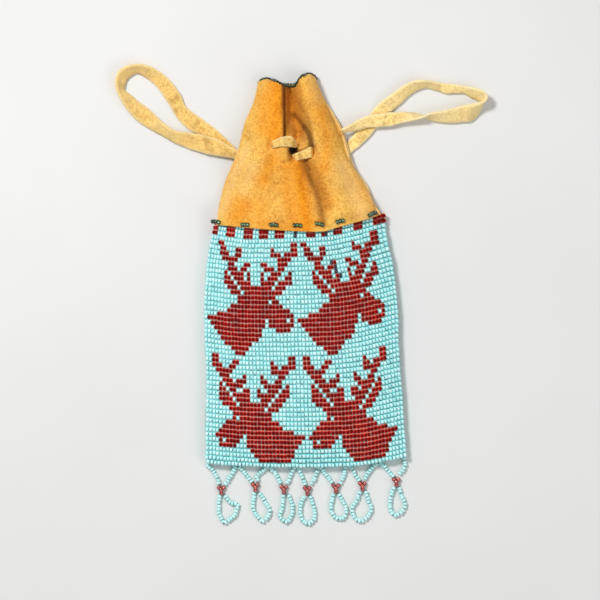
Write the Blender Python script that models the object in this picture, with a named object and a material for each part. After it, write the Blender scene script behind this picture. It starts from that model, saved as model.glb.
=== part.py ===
"""A beaded drawstring bag, lying on its back with its mouth towards +Y.

Metres, +Z up. The origin is under the middle of the beaded pouch, on the plane that the bag lies on.
The pouch is two sheets of loomed glass beads, a soft leather neck is sewn over its top rows, two leather
drawstrings leave the neck at its sides, and seven beaded drops hang from the pouch's bottom row.
"""

import math

import bmesh
import bpy
from mathutils import Vector

MM = 0.001

# Beads. A bead is a short ring: its diameter is wider than its length along the thread.
BEAD_DIAMETER = 2.1 * MM
STRUNG_PITCH = 1.62 * MM
COLUMN_PITCH = 1.56 * MM
ROW_PITCH = 2.1 * MM
COLUMNS = 56
ROWS = 50
HIDDEN_ROWS = 2
ROW_GROOVE = 0.8 * MM
BEAD_SIDES = 6
BEAD_END_SHARE = 0.74

# The sheets' inner faces are plain, with a line of points every few rows, and closer above this row, because
# the back rises there onto the leather's hem.
INNER_LINE_ROWS = 4
LIFT_START_ROW = 40
LIFT_LINE_ROWS = 2

# The gap that two pieces keep where they touch.
CLEARANCE = 0.3 * MM

# Leather.
LEATHER_THICKNESS = 1.2 * MM
NECK_LENGTH = 68.4 * MM
HEM_INSET = 1.8 * MM
HEM_RUN_OUT = 9.0 * MM
BACK_PEEK = 0.8 * MM

# Height inside the bag over the back, at the pouch's bottom row, in the pouch, at the hem and in the neck.
BOTTOM_CROWN = 0.0 * MM
POUCH_CROWN = 8.0 * MM
HEM_CROWN = 8.4 * MM
NECK_CROWN = 9.2 * MM
POUCH_SIDE_RISE = 0.6 * MM
NECK_SIDE_RISE = 2.0 * MM

# The fold that the drawstrings gather in the middle of the neck's front.
FOLD_DEPTH = 7.0 * MM
FOLD_HALF_WIDTH_LEFT = 2.6 * MM
FOLD_HALF_WIDTH_RIGHT = 4.0 * MM

# Drawstrings: flat thongs. Their free loops come out between the two leathers.
THONG_WIDTH = 7.0 * MM
THONG_THICKNESS = 1.0 * MM
EXIT_HALF_LENGTH_LEFT = 6.5 * MM
EXIT_HALF_LENGTH_RIGHT = 10.5 * MM
EXIT_RAMP = 6.0 * MM
STITCH_WIDTH = 3.6 * MM
STITCH_TAIL = 2.4 * MM
SLIT_SPARE = 0.45 * MM

# Fringe.
KNOT_BEADS = 3
STRAND_SPREAD = 1.25 * MM
HEM_STITCH_BEADS = 3
HEM_STITCH_INSET = 1.9 * MM
EDGING_DIAMETER = 1.6 * MM
EDGING_PITCH = 1.5 * MM

# Outlines, as shares: (share of the way from the bottom row to the hem, share of half the pouch's width).
POUCH_LEFT_SHARES = (
    (0.0, -0.993), (0.04, -1.022), (0.4, -1.02), (0.66, -1.04), (0.87, -1.009), (1.0, -0.954),
)
POUCH_RIGHT_SHARES = (
    (0.0, 1.03), (0.04, 1.049), (0.28, 1.017), (0.5, 0.979), (0.7, 0.962), (0.88, 0.908), (1.0, 0.83),
)
# From the hem to the rim, in the neck.
NECK_LEFT_SHARES = (
    (0.0, -0.954), (0.07, -0.928), (0.15, -0.893), (0.33, -0.82), (0.52, -0.694), (0.72, -0.616),
    (0.85, -0.528), (1.0, -0.474),
)
NECK_RIGHT_SHARES = (
    (0.0, 0.83), (0.07, 0.795), (0.15, 0.73), (0.3, 0.63), (0.42, 0.504), (0.53, 0.413), (0.6, 0.394),
    (0.73, 0.298), (0.86, 0.212), (1.0, 0.119),
)
# (place across from -1 to 1, share of the row pitch or neck length that the edge stands above its mean).
BOTTOM_EDGE_SHARES = ((-1.0, 0.3), (-0.6, -0.4), (0.0, -0.65), (0.5, -0.3), (0.8, 0.75), (1.0, 1.7))
HEM_EDGE_SHARES = ((-1.0, 0.5), (-0.6, -0.6), (0.0, -0.4), (0.35, 0.1), (0.7, 1.6), (1.0, 3.2))
RIM_EDGE_SHARES = (
    (-1.0, -0.017), (-0.6, -0.004), (-0.3, -0.02), (-0.03, -0.05), (0.25, -0.028), (0.55, 0.02),
    (0.8, 0.033), (1.0, 0.012),
)
# Where each row's ridge is full, as shares of the row. The back's ridges are flat, as the bag rests on them.
FRONT_RIDGE_SHARES = (0.5,)
BACK_RIDGE_SHARES = (0.24, 0.76)
# The fold's middle and its depth, from hem to rim, as shares of half the pouch's width and of its depth.
FOLD_MIDDLE_SHARES = ((0.0, 0.144), (0.25, 0.07), (0.55, -0.035), (0.8, -0.14), (1.0, -0.149))
FOLD_DEPTH_SHARES = ((0.0, 0.1), (0.2, 0.2), (0.4, 0.55), (0.55, 0.82), (0.75, 1.0), (1.0, 1.0))
FOLD_WIDTH_SHARES = ((0.0, 2.2), (0.3, 1.6), (0.55, 1.1), (1.0, 1.0))

# Where the drawstrings leave the neck, and where their front stitches go in and out of it.
EXIT_LEFT_SHARE = 0.52
EXIT_RIGHT_SHARE = 0.55
STITCH_LEFT_SHARES = ((-0.35, 0.555), (-0.085, 0.595))
STITCH_RIGHT_SHARES = ((-0.125, 0.49), (0.1, 0.525))

# Seven pendants: left strand, knot and right strand across, as shares of half the pouch's width, then the
# strands' drop to the knot in bead diameters.
FRINGE_SHARES = (
    (-0.99, -0.858, -0.717, 4.2),
    (-0.666, -0.5075, -0.392, 3.5),
    (-0.3456, -0.2135, -0.1145, 3.6),
    (-0.0588, 0.0289, 0.129, 3.7),
    (0.1805, 0.3229, 0.4178, 3.3),
    (0.4735, 0.5963, 0.7355, 3.4),
    (0.7892, 0.946, 1.012, 3.4),
)
# Each drop's outline in the photograph's pixels, right and down from the foot of its knot.
DROP_PIXELS = (
    ((-1.6, 1), (-2.3, 7), (-2.3, 14), (-1.9, 20.5), (0.4, 25), (3, 28.2), (7, 26), (11.2, 23.5),
     (14.3, 19), (16, 14.3), (17.4, 11.8), (14.2, 9.7), (9.6, 8.2), (6.6, 5.8), (3.7, 1)),
    ((-1.3, 1), (-1.6, 8.5), (-2.3, 16.3), (-0.3, 21), (2.7, 26.3), (6.9, 30), (11.2, 27.1),
     (14.2, 22.5), (13.9, 17.9), (11.2, 12.5), (8.1, 7.9), (4, 1)),
    ((-0.7, 1), (-1.2, 9.7), (-2.8, 17.5), (-4, 22.8), (2.2, 28.2), (7.2, 23.5), (8.8, 17.5),
     (8, 9.7), (4.6, 1)),
    ((-2.4, 1), (-6.6, 9.5), (-6.9, 18), (-5, 24.9), (-0.3, 29), (5.4, 26.8), (7.3, 16), (5.2, 7.5),
     (2.9, 1)),
    ((-2.2, 1), (-4.3, 9.3), (-4.6, 17.8), (-1.2, 24.7), (3.4, 26.5), (8.8, 24.7), (10.7, 17.8),
     (7.2, 9.3), (3.1, 1)),
    ((-2.2, 1), (-5.3, 9.8), (-9, 16.7), (-9, 24.4), (-5, 29.8), (0.7, 30.5), (6.9, 25.2), (8.7, 16),
     (5.4, 9), (3.1, 1)),
    ((-2.2, 1), (-4.7, 7.6), (-6.2, 16), (-5.8, 23.8), (-1.6, 29.2), (3, 27.6), (7.6, 23),
     (8.4, 17.6), (5.3, 9.2), (3.1, 1)),
)
# The pouch's length in the photograph's pixels.
POUCH_PIXELS = 233
HEM_STITCH_SHARES = (-0.86, -0.6, -0.31, -0.065, 0.16, 0.37, 0.69)

POUCH_WIDTH = COLUMNS * COLUMN_PITCH
POUCH_LENGTH = ROWS * ROW_PITCH
HALF_WIDTH = POUCH_WIDTH / 2
Y_BOTTOM = -POUCH_LENGTH / 2
Y_HEM = POUCH_LENGTH / 2
Y_RIM = Y_HEM + NECK_LENGTH
UNDER_HEM = HIDDEN_ROWS * ROW_PITCH
PIXEL = POUCH_LENGTH / POUCH_PIXELS
HEM_LIFT = LEATHER_THICKNESS + CLEARANCE
BEAD_RADIUS = BEAD_DIAMETER / 2

# The free loops: x, y and extra height of the thong's middle in millimetres, and its roll in degrees.
LEFT_ROUTE = (
    (-19.2, 83.1, 3.35, 0), (-24.6, 86.1, 3.35, 0), (-29.1, 88.8, 3.35, 0), (-32.0, 90.5, 3.35, 0),
    (-35.4, 92.8, 1.9, 4), (-39.9, 95.8, 0.3, 10), (-44.4, 98.7, 0, 8), (-48.9, 101.8, 0, 18),
    (-52.5, 105.0, 0, 30), (-55.2, 108.4, 0, 24), (-57.9, 112.7, 0, 20), (-61.5, 117.8, 0, 4),
    (-65.1, 121.4, 0, 14), (-68.7, 123.8, 0, 36), (-72.3, 125.3, 0, 48), (-75.9, 125.9, 0, 56),
    (-79.1, 125.4, 0, 54), (-81.6, 123.7, 0, 55), (-82.9, 121.0, 0, 57), (-82.9, 117.4, 0, 57),
    (-81.3, 114.2, 0, 50), (-78.6, 111.3, 0, 36), (-75.0, 108.4, 0, 26), (-71.4, 105.8, 0, 32),
    (-67.8, 103.0, 0, 50), (-64.2, 99.9, 0, 56), (-60.2, 97.4, 0, 52), (-55.6, 95.1, 0.3, 34),
    (-50.7, 93.2, 1.0, 10), (-44.8, 91.8, 1.9, 0), (-38.1, 90.4, 3.4, 0), (-33.6, 89.6, 4.65, 0),
    (-29.1, 88.7, 4.65, 0), (-24.1, 87.7, 4.65, 0), (-19.2, 86.7, 4.65, 0),
)
RIGHT_ROUTE = (
    (2.9, 91.7, 3.35, 0), (10.1, 94.8, 3.35, 0), (17.6, 97.9, 3.35, 0), (21.4, 99.4, 3.2, 0),
    (26.4, 101.2, 2.9, 0), (31.8, 102.6, 2.4, 4), (38.1, 103.3, 1.0, 22), (43.9, 103.7, 0, 44),
    (48.9, 104.0, 0, 66), (53.4, 104.2, 0, 92), (57.9, 104.1, 0, 122), (63.3, 104.7, 0, 144),
    (69.2, 105.5, 0, 166), (74.6, 106.6, 0, 172), (78.6, 108.6, 0, 150), (80.9, 111.3, 0, 126),
    (80.7, 114.0, 0, 116), (78.0, 115.8, 0, 122), (73.7, 116.4, 0, 124), (69.2, 116.8, 0, 132),
    (64.2, 117.4, 0, 142), (59.3, 118.2, 0, 130), (55.2, 118.9, 0, 118), (51.1, 118.9, 0, 118),
    (47.5, 117.4, 0, 126), (43.9, 115.1, 0, 130), (40.3, 112.6, 0, 136), (36.7, 109.7, 0, 146),
    (33.1, 106.1, 0, 160), (29.5, 102.1, 0, 176), (26.8, 98.3, 0, 180), (23.7, 94.2, 0.7, 180),
    (20.3, 90.0, 3.35, 180), (16.4, 86.7, 3.35, 180), (11.5, 82.7, 3.35, 180), (6.5, 78.6, 3.35, 180),
)
ROUTE_STEP = 3.2 * MM


def clear_scene():
    for old in list(bpy.data.objects):
        bpy.data.objects.remove(old)


def ease(share):
    """0 below 0, 1 above 1 and smooth between."""
    share = min(max(share, 0.0), 1.0)
    return share * share * (3 - 2 * share)


def mix(a, b, share):
    return a + (b - a) * share


def follow(stations, place):
    """The value at a place on a smooth curve through (place, value) stations."""
    if place <= stations[0][0]:
        return stations[0][1]
    if place >= stations[-1][0]:
        return stations[-1][1]
    last = len(stations) - 1
    k = next(i for i in range(last) if place <= stations[i + 1][0])

    def slope(i):
        before, after = stations[max(i - 1, 0)], stations[min(i + 1, last)]
        return (after[1] - before[1]) / (after[0] - before[0])

    (a, start), (b, end) = stations[k], stations[k + 1]
    t = (place - a) / (b - a)
    rise, lead, trail = t * t * (3 - 2 * t), t * (1 - t) ** 2, t * t * (t - 1)
    return mix(start, end, rise) + (b - a) * (lead * slope(k) + trail * slope(k + 1))


def pouch_share(y):
    return (y - Y_BOTTOM) / POUCH_LENGTH


def neck_share(y):
    return (y - Y_HEM) / NECK_LENGTH


def side(y, pouch_shares, neck_shares):
    """Where the bag's side runs: the pouch's outline below the hem, and the neck's above it."""
    shares, share = (pouch_shares, pouch_share(y)) if y < Y_HEM else (neck_shares, neck_share(y))
    return HALF_WIDTH * follow(shares, share)


def left_side(y):
    return side(y, POUCH_LEFT_SHARES, NECK_LEFT_SHARES)


def right_side(y):
    return side(y, POUCH_RIGHT_SHARES, NECK_RIGHT_SHARES)


def hem_edge(place):
    return Y_HEM + ROW_PITCH * follow(HEM_EDGE_SHARES, place)


def bottom_edge(place):
    return Y_BOTTOM + ROW_PITCH * follow(BOTTOM_EDGE_SHARES, place)


def rim_edge(place):
    return Y_RIM + NECK_LENGTH * follow(RIM_EDGE_SHARES, place)


def across_with_wall(x, y, wall):
    middle = (left_side(y) + right_side(y)) / 2
    half = (right_side(y) - left_side(y)) / 2 - wall
    return min(max((x - middle) / half, -1.0), 1.0)


def past_hem(x, y):
    """How far a point lies over the hem's edge, towards the mouth."""
    return y - hem_edge(across_with_wall(x, y, 0))


def wall_at(past):
    """The bag's inside narrows by the leather's thickness once it is past the beads."""
    return LEATHER_THICKNESS * ease((past - UNDER_HEM) / HEM_RUN_OUT)


def across(x, y):
    """Where x lies across the bag's inside, from -1 at its left side to 1 at its right side."""
    return across_with_wall(x, y, wall_at(past_hem(x, y)))


def side_rise(y):
    return mix(POUCH_SIDE_RISE, NECK_SIDE_RISE, ease(2 * neck_share(y)))


def past_beads(x, y):
    """0 where the beads lie under the leather, and 1 where the leather has come down off them."""
    return ease((past_hem(x, y) - UNDER_HEM - HEM_INSET / 2) / HEM_RUN_OUT)


def back_lift(x, y):
    """How far the beaded back stands off the table, where the leather's hem passes under it."""
    return HEM_LIFT * ease((past_hem(x, y) + HEM_RUN_OUT) / (HEM_RUN_OUT - HEM_INSET))


def curl(x, y):
    """The back's sides turn up a little, more so in the neck."""
    return side_rise(y) * across(x, y) ** 4


def exit_room(x, y):
    """Room between the two leathers where a drawstring comes out at the side."""
    place = across(x, y)
    room = 0.0
    for sign, share, half, layers in (
        (-1, EXIT_LEFT_SHARE, EXIT_HALF_LENGTH_LEFT, 2),
        (1, EXIT_RIGHT_SHARE, EXIT_HALF_LENGTH_RIGHT, 1),
    ):
        off = abs(y - Y_HEM - share * NECK_LENGTH) - half
        near_side = ((1 + sign * place) / 2) ** 3
        height = layers * (THONG_THICKNESS + CLEARANCE)
        room += height * near_side * (1 - ease(off / EXIT_RAMP))
    return room


def fold(x, y):
    """How far the middle fold sinks the neck's front."""
    share = neck_share(y)
    if share <= 0:
        deep = follow(FOLD_DEPTH_SHARES, 0) * ease(1 + share * NECK_LENGTH / HEM_RUN_OUT / 2)
    else:
        deep = follow(FOLD_DEPTH_SHARES, share)
    off = x - HALF_WIDTH * follow(FOLD_MIDDLE_SHARES, share)
    half = FOLD_HALF_WIDTH_LEFT if off < 0 else FOLD_HALF_WIDTH_RIGHT
    half *= follow(FOLD_WIDTH_SHARES, share)
    return FOLD_DEPTH * deep * math.exp(-abs(off / half) ** 3)


def crown(y):
    """Height of the bag's inside at its middle, over its sides."""
    share = pouch_share(y)
    if share < 1:
        low = mix(BOTTOM_CROWN, POUCH_CROWN, 1 - (1 - min(max(2.6 * share, 0.0), 1.0)) ** 2.4)
        return mix(low, HEM_CROWN, ease(2 * share - 1))
    return mix(HEM_CROWN, NECK_CROWN, ease(2 * neck_share(y)))


def ceiling(x, y):
    """The inside face of the bag's front."""
    bare = past_beads(x, y)
    back = mix(back_lift(x, y) + BEAD_DIAMETER, LEATHER_THICKNESS, bare)
    upright = ease(2.2 * neck_share(y))
    arch = (1 - abs(across(x, y)) ** mix(3.0, 2.3, upright)) ** (1 / mix(1.0, 1.9, upright))
    seat = side_rise(y) + back + CLEARANCE + exit_room(x, y)
    return seat + crown(y) * arch - fold(x, y)


def beaded_front_under(x, y):
    return Vector((x, y, ceiling(x, y)))


def leather_front_under(x, y):
    over_beads = (BEAD_DIAMETER + CLEARANCE) * (1 - past_beads(x, y))
    return Vector((x, y, ceiling(x, y) + over_beads))


def normal_of(surface, x, y):
    step = BEAD_DIAMETER / 10
    along_x = surface(x + step, y) - surface(x - step, y)
    along_y = surface(x, y + step) - surface(x, y - step)
    return along_x.cross(along_y).normalized()


def leather_front_over(x, y):
    return leather_front_under(x, y) + LEATHER_THICKNESS * normal_of(leather_front_under, x, y)


def height_over_leather(x, y):
    """The leather's outer height straight over a point, which is more on a slope than its thickness."""
    face = normal_of(leather_front_under, x, y)
    return leather_front_under(x, y).z + LEATHER_THICKNESS / max(face.z, 0.3)


def arc_spaced(count):
    """Places from -1 to 1, closer together near the sides, where the front turns down."""
    return [-math.sin(math.pi / 2 * math.cos(math.pi * i / count)) * 0.35
            - 0.65 * math.cos(math.pi * i / count) for i in range(count + 1)]


def material(name, colour, roughness):
    made = bpy.data.materials.new(name)
    made.use_nodes = True
    shader = made.node_tree.nodes["Principled BSDF"]
    shader.inputs["Base Color"].default_value = (*colour, 1.0)
    shader.inputs["Roughness"].default_value = roughness
    shader.inputs["Metallic"].default_value = 0.0
    return made


def add_object(name, mesh_maker, finish, origin=None, parent=None, smooth=True):
    """Makes one named object from a bmesh, with its origin at the given point and in its parent's frame."""
    origin = Vector(origin) if origin else Vector((0, 0, 0))
    made = bmesh.new()
    mesh_maker(made)
    bmesh.ops.recalc_face_normals(made, faces=made.faces)
    bmesh.ops.translate(made, verts=made.verts, vec=-origin)
    mesh = bpy.data.meshes.new(name)
    made.to_mesh(mesh)
    made.free()
    if smooth:
        mesh.shade_smooth()
        mesh.set_sharp_from_angle(angle=math.radians(50))
    mesh.materials.append(finish)
    obj = bpy.data.objects.new(name, mesh)
    bpy.context.scene.collection.objects.link(obj)
    if parent:
        obj.parent = parent
        origin = origin - world_place(parent)
    obj.location = origin
    return obj


def world_place(obj):
    place = Vector(obj.location)
    while obj.parent:
        obj = obj.parent
        place += obj.location
    return place


def pivot(name, place, parent=None):
    """An empty on a joint's axis, which the pieces that move there hang from."""
    empty = bpy.data.objects.new(name, None)
    bpy.context.scene.collection.objects.link(empty)
    empty.empty_display_size = BEAD_DIAMETER
    if parent:
        empty.parent = parent
        place = place - world_place(parent)
    empty.location = place
    return empty


def skin(made, under, over, shared=None):
    """A closed sheet between two grids of points with the same columns.

    The outer grid may have more rows: shared lists which of them lie over the inner grid's rows.
    """
    shared = shared or range(len(under))
    low, high = ([[made.verts.new(p) for p in row] for row in grid] for grid in (under, over))
    for grid in (low, high):
        for first, second in zip(grid, grid[1:]):
            for j in range(len(first) - 1):
                made.faces.new((first[j], first[j + 1], second[j + 1], second[j]))
    for i in (0, -1):
        for j in range(len(low[i]) - 1):
            made.faces.new((low[i][j], low[i][j + 1], high[i][j + 1], high[i][j]))
    walls = []
    for i, (start, end) in enumerate(zip(shared, shared[1:])):
        for j in (0, -1):
            edge = [high[k][j] for k in range(end, start - 1, -1)]
            walls.append(made.faces.new([low[i][j], low[i + 1][j]] + edge))
    bmesh.ops.triangulate(made, faces=walls)


def tube(made, rings):
    """A closed tube through rings of points."""
    loops = [[made.verts.new(p) for p in ring] for ring in rings]
    for first, second in zip(loops, loops[1:]):
        for i in range(len(first)):
            j = (i + 1) % len(first)
            made.faces.new((first[i], first[j], second[j], second[i]))
    made.faces.new(loops[0][::-1])
    made.faces.new(loops[-1])


def ring_loop(made, rings):
    """A tube whose last ring joins its first."""
    loops = [[made.verts.new(p) for p in ring] for ring in rings]
    for first, second in zip(loops, loops[1:] + loops[:1]):
        for i in range(len(first)):
            j = (i + 1) % len(first)
            made.faces.new((first[i], first[j], second[j], second[i]))


def smooth_line(points, step):
    """Points about a step apart on a smooth curve through the given ones; each is a tuple of numbers."""
    reach = [0.0]
    for a, b in zip(points, points[1:]):
        reach.append(reach[-1] + math.dist(a[:3], b[:3]))
    count = max(2, round(reach[-1] / step))
    tracks = [tuple(zip(reach, values)) for values in zip(*points)]
    return [tuple(follow(track, reach[-1] * i / count) for track in tracks) for i in range(count + 1)]


def tangents(points):
    last = len(points) - 1
    return [(points[min(i + 1, last)] - points[max(i - 1, 0)]).normalized() for i in range(last + 1)]


def bead_rings(points, diameter, up=None):
    """Rings of a string of beads, thin at each end and full in the middle; points are half a bead apart."""
    rings = []
    for i, (point, ahead) in enumerate(zip(points, tangents(points))):
        above = (up[i] if up else Vector((0, 0, 1)))
        beside = ahead.cross(above).normalized()
        above = beside.cross(ahead)
        radius = diameter / 2 * (1.0 if i % 2 else BEAD_END_SHARE)
        turn = [2 * math.pi * (k + 0.5) / BEAD_SIDES for k in range(BEAD_SIDES)]
        rings.append([point + radius * (math.cos(a) * beside + math.sin(a) * above) for a in turn])
    return rings


def string_points(points, pitch):
    """The curve again, with an even number of steps of half a bead."""
    line = smooth_line([tuple(p) for p in points], pitch / 20)
    reach = [0.0]
    for a, b in zip(line, line[1:]):
        reach.append(reach[-1] + math.dist(a, b))
    count = 2 * max(1, round(reach[-1] / pitch))
    spaced, k = [], 0
    for i in range(count + 1):
        want = reach[-1] * i / count
        while k < len(line) - 2 and reach[k + 1] < want:
            k += 1
        share = (want - reach[k]) / (reach[k + 1] - reach[k])
        spaced.append(Vector(line[k]).lerp(Vector(line[k + 1]), min(share, 1.0)))
    return spaced


def row_stations(ridge_shares):
    """(row, share of the groove's depth) up a sheet: full depth between rows and none on a row's ridge."""
    stations = []
    for row in range(ROWS + HIDDEN_ROWS):
        stations += [(row, 1)] + [(row + share, 0) for share in ridge_shares]
    return stations + [(ROWS + HIDDEN_ROWS, 1)]


def make_beaded_sheets(blue):
    """The two loomed sheets, with a ridge for each row of beads on the outer face.

    Each sheet reaches up under the leather by its hidden rows.
    """
    inner_rows = list(range(0, LIFT_START_ROW, INNER_LINE_ROWS))
    inner_rows += list(range(LIFT_START_ROW, ROWS + HIDDEN_ROWS + 1, LIFT_LINE_ROWS))

    def grid(surface, places, stations):
        lines = []
        for row, depth in stations:
            line = []
            for place in places:
                y = mix(bottom_edge(place), hem_edge(place) + UNDER_HEM, row / (ROWS + HIDDEN_ROWS))
                x = mix(left_side(y), right_side(y), (place + 1) / 2)
                line.append(Vector((x, y, surface(x, y, depth * ROW_GROOVE))))
            lines.append(line)
        return lines

    def back_under(x, y, groove):
        return back_lift(x, y) + curl(x, y) + groove

    def back_over(x, y, groove):
        return back_under(x, y, -groove) + BEAD_DIAMETER

    def front_under(x, y, groove):
        return ceiling(x, y) + groove

    def front_over(x, y, groove):
        return ceiling(x, y) + BEAD_DIAMETER - groove

    def sheet(name, inner, outer, places, ridge_shares):
        lines = row_stations(ridge_shares)
        shared = [row * (len(ridge_shares) + 1) for row in inner_rows]
        plain = grid(inner, places, [(row, 0) for row in inner_rows])
        ridged = grid(outer, places, lines)
        add_object(name, lambda made: skin(made, plain, ridged, shared), blue)

    sheet("beaded_front", front_under, front_over, arc_spaced(18), FRONT_RIDGE_SHARES)
    sheet("beaded_back", back_over, back_under, arc_spaced(8), BACK_RIDGE_SHARES)


def leather_place(place, step, spare=0.0):
    """x and y on the leather, inset from the pouch's sides at the hem."""
    y = mix(hem_edge(place), rim_edge(place), step)
    past = y - hem_edge(place)
    inset = wall_at(past) + HEM_INSET * (1 - ease(past / HEM_RUN_OUT)) - spare
    return mix(left_side(y) + inset, right_side(y) - inset, (place + 1) / 2), y


def slit_cutter(name, share, heading):
    """A hidden box that cuts one slit for a thong, square to the way the thong runs."""
    x, y = HALF_WIDTH * share[0], Y_HEM + NECK_LENGTH * share[1]
    middle = leather_front_under(x, y)
    bpy.ops.mesh.primitive_cube_add(size=1, location=middle)
    cutter = bpy.context.object
    cutter.name = name
    cutter.scale = (THONG_THICKNESS + 2 * SLIT_SPARE, STITCH_WIDTH + 2 * SLIT_SPARE, 4 * NECK_CROWN)
    cutter.rotation_euler = (0, 0, heading)
    cutter.hide_render = True
    cutter.display_type = "WIRE"
    return cutter


def stitch_heading(shares):
    (ax, ay), (bx, by) = shares
    return math.atan2((by - ay) * NECK_LENGTH, (bx - ax) * HALF_WIDTH)


def make_leather(tan):
    places, steps = arc_spaced(28), [i / 22 for i in range(23)]
    under, over = [], []
    for step in steps:
        spots = [leather_place(place, step) for place in places]
        under.append([leather_front_under(*spot) for spot in spots])
        over.append([leather_front_over(*spot) for spot in spots])
    front = add_object("leather_front", lambda made: skin(made, under, over), tan)
    for side_name, shares in (("left", STITCH_LEFT_SHARES), ("right", STITCH_RIGHT_SHARES)):
        for end, share in zip(("in", "out"), shares):
            cutter = slit_cutter(f"slit_{side_name}_{end}", share, stitch_heading(shares))
            cut = front.modifiers.new(cutter.name, "BOOLEAN")
            cut.operation = "DIFFERENCE"
            cut.object = cutter

    flat_places, flat_steps = arc_spaced(14), [i / 12 for i in range(13)]
    low, high = [], []
    for step in flat_steps:
        spots = [leather_place(place, step, LEATHER_THICKNESS * step ** 0.2 + BACK_PEEK * step)
                 for place in flat_places]
        low.append([Vector((x, y, curl(x, y))) for x, y in spots])
        high.append([Vector((x, y, curl(x, y) + LEATHER_THICKNESS)) for x, y in spots])
    add_object("leather_back", lambda made: skin(made, low, high), tan)


def taut_over(start, end, surface, count):
    """A thong pulled tight over a surface, from start to end: the least line that stays above it."""
    spots = [Vector(start).lerp(Vector(end), i / count) for i in range(count + 1)]
    tops = [(i / count, surface(p.x, p.y)) for i, p in enumerate(spots)]
    hull = []
    for point in tops:
        while len(hull) > 1 and (hull[-1][1] - hull[-2][1]) * (point[0] - hull[-1][0]) <= (
                point[1] - hull[-1][1]) * (hull[-1][0] - hull[-2][0]):
            hull.pop()
        hull.append(point)
    line = []
    for share, spot in zip((i / count for i in range(count + 1)), spots):
        k = next(i for i in range(len(hull) - 1) if share <= hull[i + 1][0])
        (a, low), (b, high) = hull[k], hull[k + 1]
        line.append(Vector((spot.x, spot.y, mix(low, high, (share - a) / (b - a)))))
    return line


def make_front_stitch(name, shares, pale):
    """One stitch of a drawstring on the neck's front, with its ends turned in through two slits."""
    start, end = [(HALF_WIDTH * a, Y_HEM + NECK_LENGTH * b, 0) for a, b in shares]

    tail = LEATHER_THICKNESS + STITCH_TAIL
    along = (Vector(end) - Vector(start)).normalized()
    beside = Vector((-along.y, along.x, 0)) * STITCH_WIDTH / 2

    def top(x, y):
        spots = [Vector((x, y, 0)) + beside * k for k in (-1, -0.5, 0, 0.5, 1)]
        highest = max(height_over_leather(spot.x, spot.y) for spot in spots)
        return highest + CLEARANCE + THONG_THICKNESS / 2 + SLIT_SPARE

    line = taut_over(start, end, top, 12)
    points = [line[0] - Vector((0, 0, tail))] + line + [line[-1] - Vector((0, 0, tail))]
    half = THONG_THICKNESS / 2
    rings = []
    for i, point in enumerate(points):
        if i in (0, len(points) - 1):
            outward = -along if i == 0 else along
        else:
            ahead, behind = points[i + 1] - point, point - points[i - 1]
            bend = ahead.normalized() + behind.normalized()
            outward = beside.normalized().cross(bend).normalized() * -1
            outward /= max(abs(outward.dot(beside.normalized().cross(ahead.normalized()))), 0.6)
        rings.append([point + beside + half * outward, point + beside - half * outward,
                      point - beside - half * outward, point - beside + half * outward])
    add_object(name, lambda made: tube(made, rings), pale, smooth=False)


def make_drawstring(name, route, pale):
    """A free loop of flat thong, lying on the table, with both ends inside the neck."""
    points = smooth_line([(x * MM, y * MM, z * MM, roll) for x, y, z, roll in route], ROUTE_STEP)
    half_width, half = THONG_WIDTH / 2, THONG_THICKNESS / 2
    rings = []
    flat = [Vector((x, y, 0)) for x, y, z, roll in points]
    for (x, y, z, roll), ahead in zip(points, tangents(flat)):
        turn = math.radians(roll)
        stand = half_width * abs(math.sin(turn)) + half * abs(math.cos(turn))
        middle = Vector((x, y, max(z, 0) + stand))
        beside = ahead.cross(Vector((0, 0, 1)))
        broad = math.cos(turn) * beside + math.sin(turn) * Vector((0, 0, 1))
        thin = ahead.cross(broad)
        rings.append([middle + a * half_width * broad + b * half * thin
                      for a, b in ((1, 1), (-1, 1), (-1, -1), (1, -1))])
    exit_place = Vector(points[0][:3])
    add_object(name, lambda made: tube(made, rings), pale, origin=exit_place, smooth=False)


def make_hem_stitches(green):
    """Short rows of dark beads that hold the leather's hem down on the pouch."""
    for number, share in enumerate(HEM_STITCH_SHARES, 1):
        length = HEM_STITCH_BEADS * STRUNG_PITCH
        points, up = [], []
        for i in range(2 * HEM_STITCH_BEADS + 1):
            x = HALF_WIDTH * share + length * (i / (2 * HEM_STITCH_BEADS) - 0.5)
            y = hem_edge(across(x, Y_HEM)) + HEM_STITCH_INSET
            face = normal_of(leather_front_over, x, y)
            points.append(leather_front_over(x, y) + (BEAD_RADIUS + CLEARANCE) * face)
            up.append(face)
        rings = bead_rings(points, BEAD_DIAMETER, up)
        add_object(f"hem_stitch_{number}", lambda made, rings=rings: tube(made, rings), green)


def rim_offset(place, radius):
    """How far up the edging's middle lies from the rim, so that a slanted rim stays clear of it."""
    near = BEAD_DIAMETER / HALF_WIDTH
    rise = max(rim_edge(place - near), rim_edge(place + near)) - rim_edge(place)
    return CLEARANCE + radius + max(rise, 0)


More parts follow.
